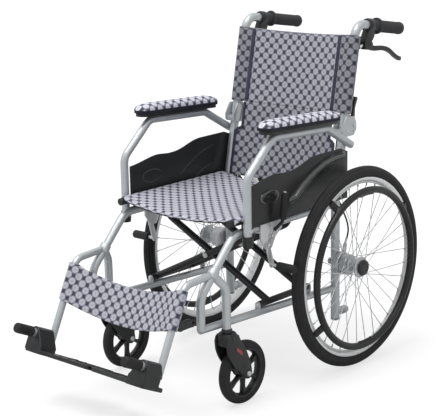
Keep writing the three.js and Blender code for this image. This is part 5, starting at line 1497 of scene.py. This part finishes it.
def seam(points, width, material, rise=0.0006):
    """A flat tape laid along a line of (place, outward) pairs."""

    def lay(column, row):
        place, outward = points[row]
        before, after = neighbours(points, row)
        side = (after[0] - before[0]).normalized().cross(outward).normalized()
        lift = rise * (1.6 if column == 1 else 1.0)
        return place + side * (column - 1) * width / 2 + outward * lift

    made = face_out(grid(2, len(points) - 1, lay))
    apply_modifier(made, "SOLIDIFY", thickness=0.0014, offset=0)
    return coat(softened(made, 0.0003, 1, 60), material)


def slack(x):
    """The share of its full sag that cloth slung between the two sides has at x."""
    return 1 - (x / FRAME_X) ** 2


def runs_of(line):
    """The length along a line of (across, up) points up to each of them."""
    runs = [0.0]
    for a, b in zip(line, line[1:]):
        runs.append(runs[-1] + math.hypot(b[0] - a[0], b[1] - a[1]))
    return runs


def slung_path(radius, sag):
    """The line of cloth from sleeve to sleeve, seen along the tubes: (x, behind, run) points.

    Behind is how far a point is behind the tubes' middle, run how far from the middle of the flat cloth.
    """
    points = []
    inward = FRAME_X - radius - SLEEVE_TURN_IN
    for i in range(7):
        points.append((inward + (FRAME_X - inward) * i / 6, radius * min(1.0, 0.25 + i / 6)))
    for i in range(1, 13):
        angle = math.pi / 2 - math.pi * i / 12
        points.append((FRAME_X + radius * math.cos(angle), radius * math.sin(angle)))
    sleeve = len(points)
    for i in range(1, 40):
        x = FRAME_X * (1 - 2 * i / 40)
        points.append((x, -radius + sag * slack(x)))
    points += [(-x, behind) for x, behind in reversed(points[:sleeve])]
    runs = runs_of(points)
    return [(x, behind, run - runs[-1] / 2) for (x, behind), run in zip(points, runs)]


class WHEELCHAIR_OT_seat(bpy.types.Operator):
    """Models the seat sling between the two seat rails"""

    bl_idname = "wheelchair.seat"
    bl_label = "Seat"

    EDGE_DROP = 0.0065
    EDGE_ROLL = 0.007
    RIPPLE = 0.0012

    def path(self):
        """The line of the seat over its rails, as (x, z) points."""
        sag = sizes("cloth").seat_sag
        radius = sizes("frame").rail_radius + 0.0015
        path = arc((FRAME_X, SEAT_RAIL_Z), radius, 0.1, math.pi / 2, 4)
        for i in range(1, 40):
            x = FRAME_X * (1 - 2 * i / 40)
            path.append((x, SEAT_RAIL_Z + radius - sag * slack(x)))
        return path + [(-x, z) for x, z in reversed(path[:5])]

    def execute(self, context):
        path = self.path()
        runs = runs_of(path)
        front, rear = SEAT_Y

        def place(u, v):
            index = round(u * (len(path) - 1))
            x, z = path[index]
            y = front + (rear - front) * v ** 1.5
            drop = self.EDGE_DROP * max(0.0, 1 - (y - front) / self.EDGE_ROLL) ** 2
            wave = math.sin(x * 95 + 1.3 * math.sin(y * 21))
            ripple = self.RIPPLE * slack(x) * wave * math.exp(-((v - 0.05) / 0.25) ** 2)
            return at(x, y, z + ripple - drop), (runs[index] - runs[-1] / 2, y - drop)

        sheet = panel(len(path) - 1, 36, place, cloth(), 0.0020)
        hem = [at(x, front + 0.0012, z - 0.0075) for x, z in path[3:-3]]
        made = stand_in(joined(sheet, cord_of(hem, 0.0018, binding(), 2)), "seat_sling", 50)
        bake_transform(made)
        return {"FINISHED"}


def slung_panel(line, first, last, rows, place, material, thick):
    """The cloth between two stations of a slung line.

    For v from 0 to 1, place(x, behind, run, v) gives a point and its spot in the flat cloth.
    """

    def spread(u, v):
        return place(*line[first + round(u * (last - first))], v)

    return panel(last - first, rows, spread, material, thick)


def folding_share(half):
    """The share of its width that cloth from x = -half to x = half keeps when the sides come together."""
    return (2 * half - FOLD_TRAVEL) / (2 * half)


def gathers_with_fold(piece, half):
    """Gives the piece its own mesh. The share of its width that the cloth keeps when folded is worked out but
    not used.
    """
    folding_share(half)
    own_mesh(piece)


def tube_frame(foot, axis):
    """A function for the places x across, behind and up along two tubes, and the way to their front."""
    axis = Vector(axis).normalized()
    front = axis.cross(X).normalized()
    if front.y > 0:
        front = -front

    def place(x, behind, height):
        return foot + X * x - front * behind + axis * height

    return place, front


class WHEELCHAIR_OT_back(bpy.types.Operator):
    """Models the upper and lower back panels with their sleeves and seam tapes"""

    bl_idname = "wheelchair.back"
    bl_label = "Back panels"

    SEAM = 22
    TOP_DIP = 0.0035
    PULL = 0.0011
    TAPE_OUT = 0.0018
    FLAP_BEHIND = 0.0040
    TAPE_WIDTH = 0.0135
    EDGE_TAPE_WIDTH = 0.0085

    def radius(self):
        """How far the sleeves lie from the posts' middle."""
        return sizes("frame").post_radius + SLEEVE_CLEARANCE

    def behind(self, x):
        """How far the stretched cloth is behind the posts' middle at x."""
        return -self.radius() + sizes("cloth").back_sag * slack(x)

    def dip(self, x, v):
        """The small pulls and folds that stretched cloth has between its sleeves."""
        give = max(0.0, 1 - (x / (FRAME_X - 0.03)) ** 2)
        return self.PULL * give * math.sin(v * 5.2 + x * 11) * math.cos(x * 23 + 0.7)

    def upper(self, spot, front, stretch):
        """Makes the upper panel and its two sleeves. Returns how far its seams are from the middle."""
        line = slung_path(self.radius(), sizes("cloth").back_sag)
        height = (BACK_TOP_Z - BACK_LOW_Z) * stretch
        end = len(line) - 1
        seams = (self.SEAM, end - self.SEAM)
        half = line[self.SEAM][0]

        def place(x, behind, run, v):
            edge = self.TOP_DIP * slack(x) * v
            return spot(x, behind + self.dip(x, v * height), v * height - edge), (run, v * height)

        def hem(first, last, material):
            """The rolled top edge between two stations of the line."""
            points = []
            for x, behind, _ in line[first:last + 1]:
                points.append(spot(x, behind, height - self.TOP_DIP * slack(x)))
            return cord_of(points, 0.0022, material, 2)

        for side, first, last, edge in (("left", 0, seams[0], half), ("right", seams[1], end, -half)):
            sleeve = slung_panel(line, first, last, 40, place, painted_shade_sleeve_cloth(), BACK_THICK)
            x = edge - math.copysign(0.002, edge)
            track = [(spot(x, self.behind(x) - self.TAPE_OUT, height * (0.012 + 0.976 * i / 24)), front)
                     for i in range(25)]
            roll = hem(max(first, 14), min(last, end - 14), painted_shade_sleeve_cloth())
            sleeve = joined(sleeve, seam(track, self.TAPE_WIDTH, tape(), 0.0003), roll)
            dress(sleeve, "back_upper", 50, side + "_back_sleeve", side + "_back")

        def flap(u, v):
            """The strip of the upper panel that hangs behind the lower one's top edge."""
            x = half * 0.97 * (2 * u - 1)
            rise = -0.009 + 0.013 * v
            return spot(x, self.behind(x) + self.dip(x, rise) + self.FLAP_BEHIND, rise), (-x, rise)

        sheet = slung_panel(line, *seams, 40, place, painted_shade_back_cloth(), BACK_THICK)
        sheet = joined(sheet, hem(*seams, painted_shade_back_cloth()), panel(36, 3, flap, painted_shade_back_cloth(), 0.0014))
        made = dress(sheet, "back_upper", 50)
        gathers_with_fold(made, half)
        return half

    def half_at(self, v):
        """Half of the lower panel's width: it widens to the posts below the hinge brackets."""
        share = min(max((0.66 - v) / 0.06, 0), 1)
        return LOWER_BACK_HALF + (LOWER_BACK_FOOT_HALF - LOWER_BACK_HALF) * share * share * (3 - 2 * share)

    def lower(self, spot, front, stretch, half):
        """Makes the lower panel with its two edge tapes."""
        low = (BACK_LOW_Z - 0.0003 - LOWER_BACK_FOOT_Z) * stretch

        def place(u, v):
            x = self.half_at(v) * (2 * u - 1)
            rise = -low + v * low
            return spot(x, self.behind(x) + self.dip(x, rise), rise - 0.0004), (-x, rise)

        sheet = panel(36, 36, place, painted_shade_lower_cloth(), BACK_THICK)
        tapes = []
        for side in (-1, 1):
            track = []
            for i in range(41):
                v = 0.004 + 0.99 * i / 40
                x = side * (self.half_at(v) - 0.003)
                track.append((spot(x, self.behind(x) - self.TAPE_OUT, low * (v - 1)), front))
            tapes.append(seam(track, self.EDGE_TAPE_WIDTH, tape()))
        made = dress(joined(sheet, *tapes), "back_lower", 50)
        gathers_with_fold(made, half)

    def execute(self, context):
        axis = Vector((0, BACK_LEAN, 1))
        spot, front = tube_frame(at(0, lean_y(BACK_LOW_Z), BACK_LOW_Z), axis)
        half = self.upper(spot, front, axis.length)
        self.lower(spot, front, axis.length, half)
        return {"FINISHED"}


class WHEELCHAIR_OT_calf_strap(bpy.types.Operator):
    """Models the calf strap slung between the leg rests"""

    bl_idname = "wheelchair.calf_strap"
    bl_label = "Calf strap"

    HANG = 0.024
    RIPPLE = 0.0014
    SEAM = 21

    def execute(self, context):
        radius = sizes("frame").leg_radius + SLEEVE_CLEARANCE
        spot = tube_frame(at(0, *FOOT_PIVOT), Vector((0, LEG_RUN, LEG_RISE)).normalized())[0]
        line = slung_path(radius, sizes("cloth").strap_sag)
        low, high = STRAP_SPAN

        def place(x, behind, run, v):
            give = slack(x)
            hang = self.HANG * (0.55 - max(give, 0))
            rise = low + (high - low) * v + hang
            fold = self.RIPPLE * max(give, 0) * math.sin(x * 62 + 3 * v) * (1 - v) ** 2
            return spot(x, behind + fold, rise), (run, rise)

        end = len(line) - 1
        seams = (self.SEAM, end - self.SEAM)
        for side, first, last in (("left", 0, seams[0]), ("right", seams[1], end)):
            sleeve = slung_panel(line, first, last, 22, place, painted_shade_strap_cloth(), STRAP_THICK)
            dress(sleeve, "calf_strap", 50, side + "_strap_sleeve", side + "_frame")
        made = dress(slung_panel(line, *seams, 22, place, painted_shade_strap_cloth(), STRAP_THICK), "calf_strap", 50)
        gathers_with_fold(made, line[self.SEAM][0])
        return {"FINISHED"}


def sun(name, energy, spread, place, way):
    """A lamp that shines along way, spread over an angle in degrees."""
    fresh()
    bpy.ops.object.light_add(type="SUN", location=place)
    lamp = bpy.context.object
    lamp.name = name
    lamp.data.energy = energy
    lamp.data.angle = math.radians(spread)
    lamp.rotation_euler = Vector(way).to_track_quat("-Z", "Y").to_euler()


class WHEELCHAIR_OT_studio(bpy.types.Operator):
    """Lays the pale floor and sets the soft lamps, the sky and the camera"""

    bl_idname = "wheelchair.studio"
    bl_label = "Studio"

    FLOOR_SIZE = 80
    FLOOR_GLOW = 1.5
    FLOOR_GLOW_SHARE = 0.45
    BRIGHTEST_WAY = (-0.22, -0.16, 0.96)
    SENSOR = 36

    def floor(self):
        fresh()
        bpy.ops.mesh.primitive_plane_add(size=self.FLOOR_SIZE, location=(0, 0, -0.0002))
        made = bpy.context.object
        made.name = "studio_floor"
        shade = sizes("colours").floor
        material, tree, shader = blank_material("studio_floor")
        place = node(tree, "ShaderNodeTexCoord").outputs["Object"]
        mottled(tree, shader, place, shade, 0.006, 2, 0.8)
        shader.inputs["Roughness"].default_value = 0.9
        shader.inputs["Specular IOR Level"].default_value = 0.1
        pale = node(tree, "ShaderNodeEmission", {"Strength": self.FLOOR_GLOW})
        from_camera = node(tree, "ShaderNodeLightPath").outputs["Is Camera Ray"]
        seen = maths(tree, "MULTIPLY", from_camera, self.FLOOR_GLOW_SHARE)
        blend = node(tree, "ShaderNodeMixShader", {0: seen})
        tree.links.new(shader.outputs[0], blend.inputs[1])
        tree.links.new(pale.outputs[0], blend.inputs[2])
        output = next(part for part in tree.nodes if part.type == "OUTPUT_MATERIAL")
        tree.links.new(blend.outputs[0], output.inputs["Surface"])
        coat(made, material)

    def sky(self):
        """A pale room that is brighter on the camera's left and above."""
        world = bpy.data.worlds.new("studio")
        bpy.context.scene.world = world
        world.use_nodes = True
        tree = world.node_tree
        tree.nodes.clear()
        way = node(tree, "ShaderNodeTexCoord").outputs["Generated"]
        lit = node(tree, "ShaderNodeVectorMath", {0: way}, operation="DOT_PRODUCT")
        lit.inputs[1].default_value = self.BRIGHTEST_WAY
        level = ranged(tree, lit.outputs["Value"], -0.1, 0.9, 0.22, 1.0)
        path = node(tree, "ShaderNodeLightPath")
        seen = maths(tree, "MAXIMUM", path.outputs["Is Glossy Ray"], path.outputs["Is Transmission Ray"])
        mirrored_level = maths(tree, "ADD", maths(tree, "MULTIPLY", level, 0.45), 0.55)
        strength = maths(tree, "ADD", maths(tree, "MULTIPLY", level, maths(tree, "SUBTRACT", 1.0, seen)),
                         maths(tree, "MULTIPLY", mirrored_level, seen))
        strength = maths(tree, "MAXIMUM", strength, path.outputs["Is Camera Ray"])
        background = node(tree, "ShaderNodeBackground", {"Strength": strength})
        background.inputs["Color"].default_value = (1, 1, 1, 1)
        output = tree.nodes.new("ShaderNodeOutputWorld")
        tree.links.new(background.outputs[0], output.inputs["Surface"])

    def execute(self, context):
        settings = sizes("studio")
        self.floor()
        self.sky()
        sun("main_lamp", settings.lamp, 28, (-2, -3, 4), (0.12, 0.28, -1.0))
        sun("side_lamp", settings.side_lamp, 18, (3, -2, 4), (-0.55, 0.25, -0.80))
        camera = bpy.data.objects.new("camera", bpy.data.cameras.new("camera"))
        bpy.context.collection.objects.link(camera)
        azimuth, elevation, roll = settings.azimuth, settings.elevation, settings.roll
        right = Vector((math.cos(azimuth), math.sin(azimuth), 0))
        ahead = Vector((-math.sin(azimuth) * math.cos(elevation), math.cos(azimuth) * math.cos(elevation),
                        -math.sin(elevation)))
        up = right.cross(ahead)
        turned_right = right * math.cos(roll) + up * math.sin(roll)
        turned_up = up * math.cos(roll) - right * math.sin(roll)
        basis = Matrix((turned_right, turned_up, -ahead)).transposed().to_4x4()
        camera.matrix_world = Matrix.Translation(settings.eye) @ basis
        camera.data.lens = settings.lens
        camera.data.sensor_width = self.SENSOR
        camera.data.clip_end = 200
        bpy.context.scene.camera = camera
        bpy.context.scene.view_settings.view_transform = "Standard"
        return {"FINISHED"}


OPERATORS = (
    WHEELCHAIR_OT_studio,
    WHEELCHAIR_OT_side_frame,
    WHEELCHAIR_OT_armrest,
    WHEELCHAIR_OT_arm_pad,
    WHEELCHAIR_OT_leg_rest,
    WHEELCHAIR_OT_caster,
    WHEELCHAIR_OT_rear_wheel,
    WHEELCHAIR_OT_parking_brake,
    WHEELCHAIR_OT_folding_back,
    WHEELCHAIR_OT_handle,
    WHEELCHAIR_OT_cross_brace,
    WHEELCHAIR_OT_seat,
    WHEELCHAIR_OT_back,
    WHEELCHAIR_OT_calf_strap,
)


class WHEELCHAIR_PT_builder(bpy.types.Panel):
    """Lists the wheelchair's pieces in the sidebar"""

    bl_label = "Wheelchair"
    bl_idname = "WHEELCHAIR_PT_builder"
    bl_space_type = "VIEW_3D"
    bl_region_type = "UI"
    bl_category = "Wheelchair"

    def draw(self, context):
        for operator in OPERATORS:
            self.layout.operator(operator.bl_idname)


CLASSES = (*GROUPS.values(), *OPERATORS, WHEELCHAIR_PT_builder)


def register():
    for cls in CLASSES:
        bpy.utils.register_class(cls)
    for name, group in GROUPS.items():
        setattr(bpy.types.Scene, name, bpy.props.PointerProperty(type=group))


def unregister():
    for name in GROUPS:
        delattr(bpy.types.Scene, name)
    for cls in reversed(CLASSES):
        bpy.utils.unregister_class(cls)


def main():
    register()
    for operator in OPERATORS:
        family, name = operator.bl_idname.split(".")
        getattr(getattr(bpy.ops, family), name)()


if __name__ == "__main__":
    main()
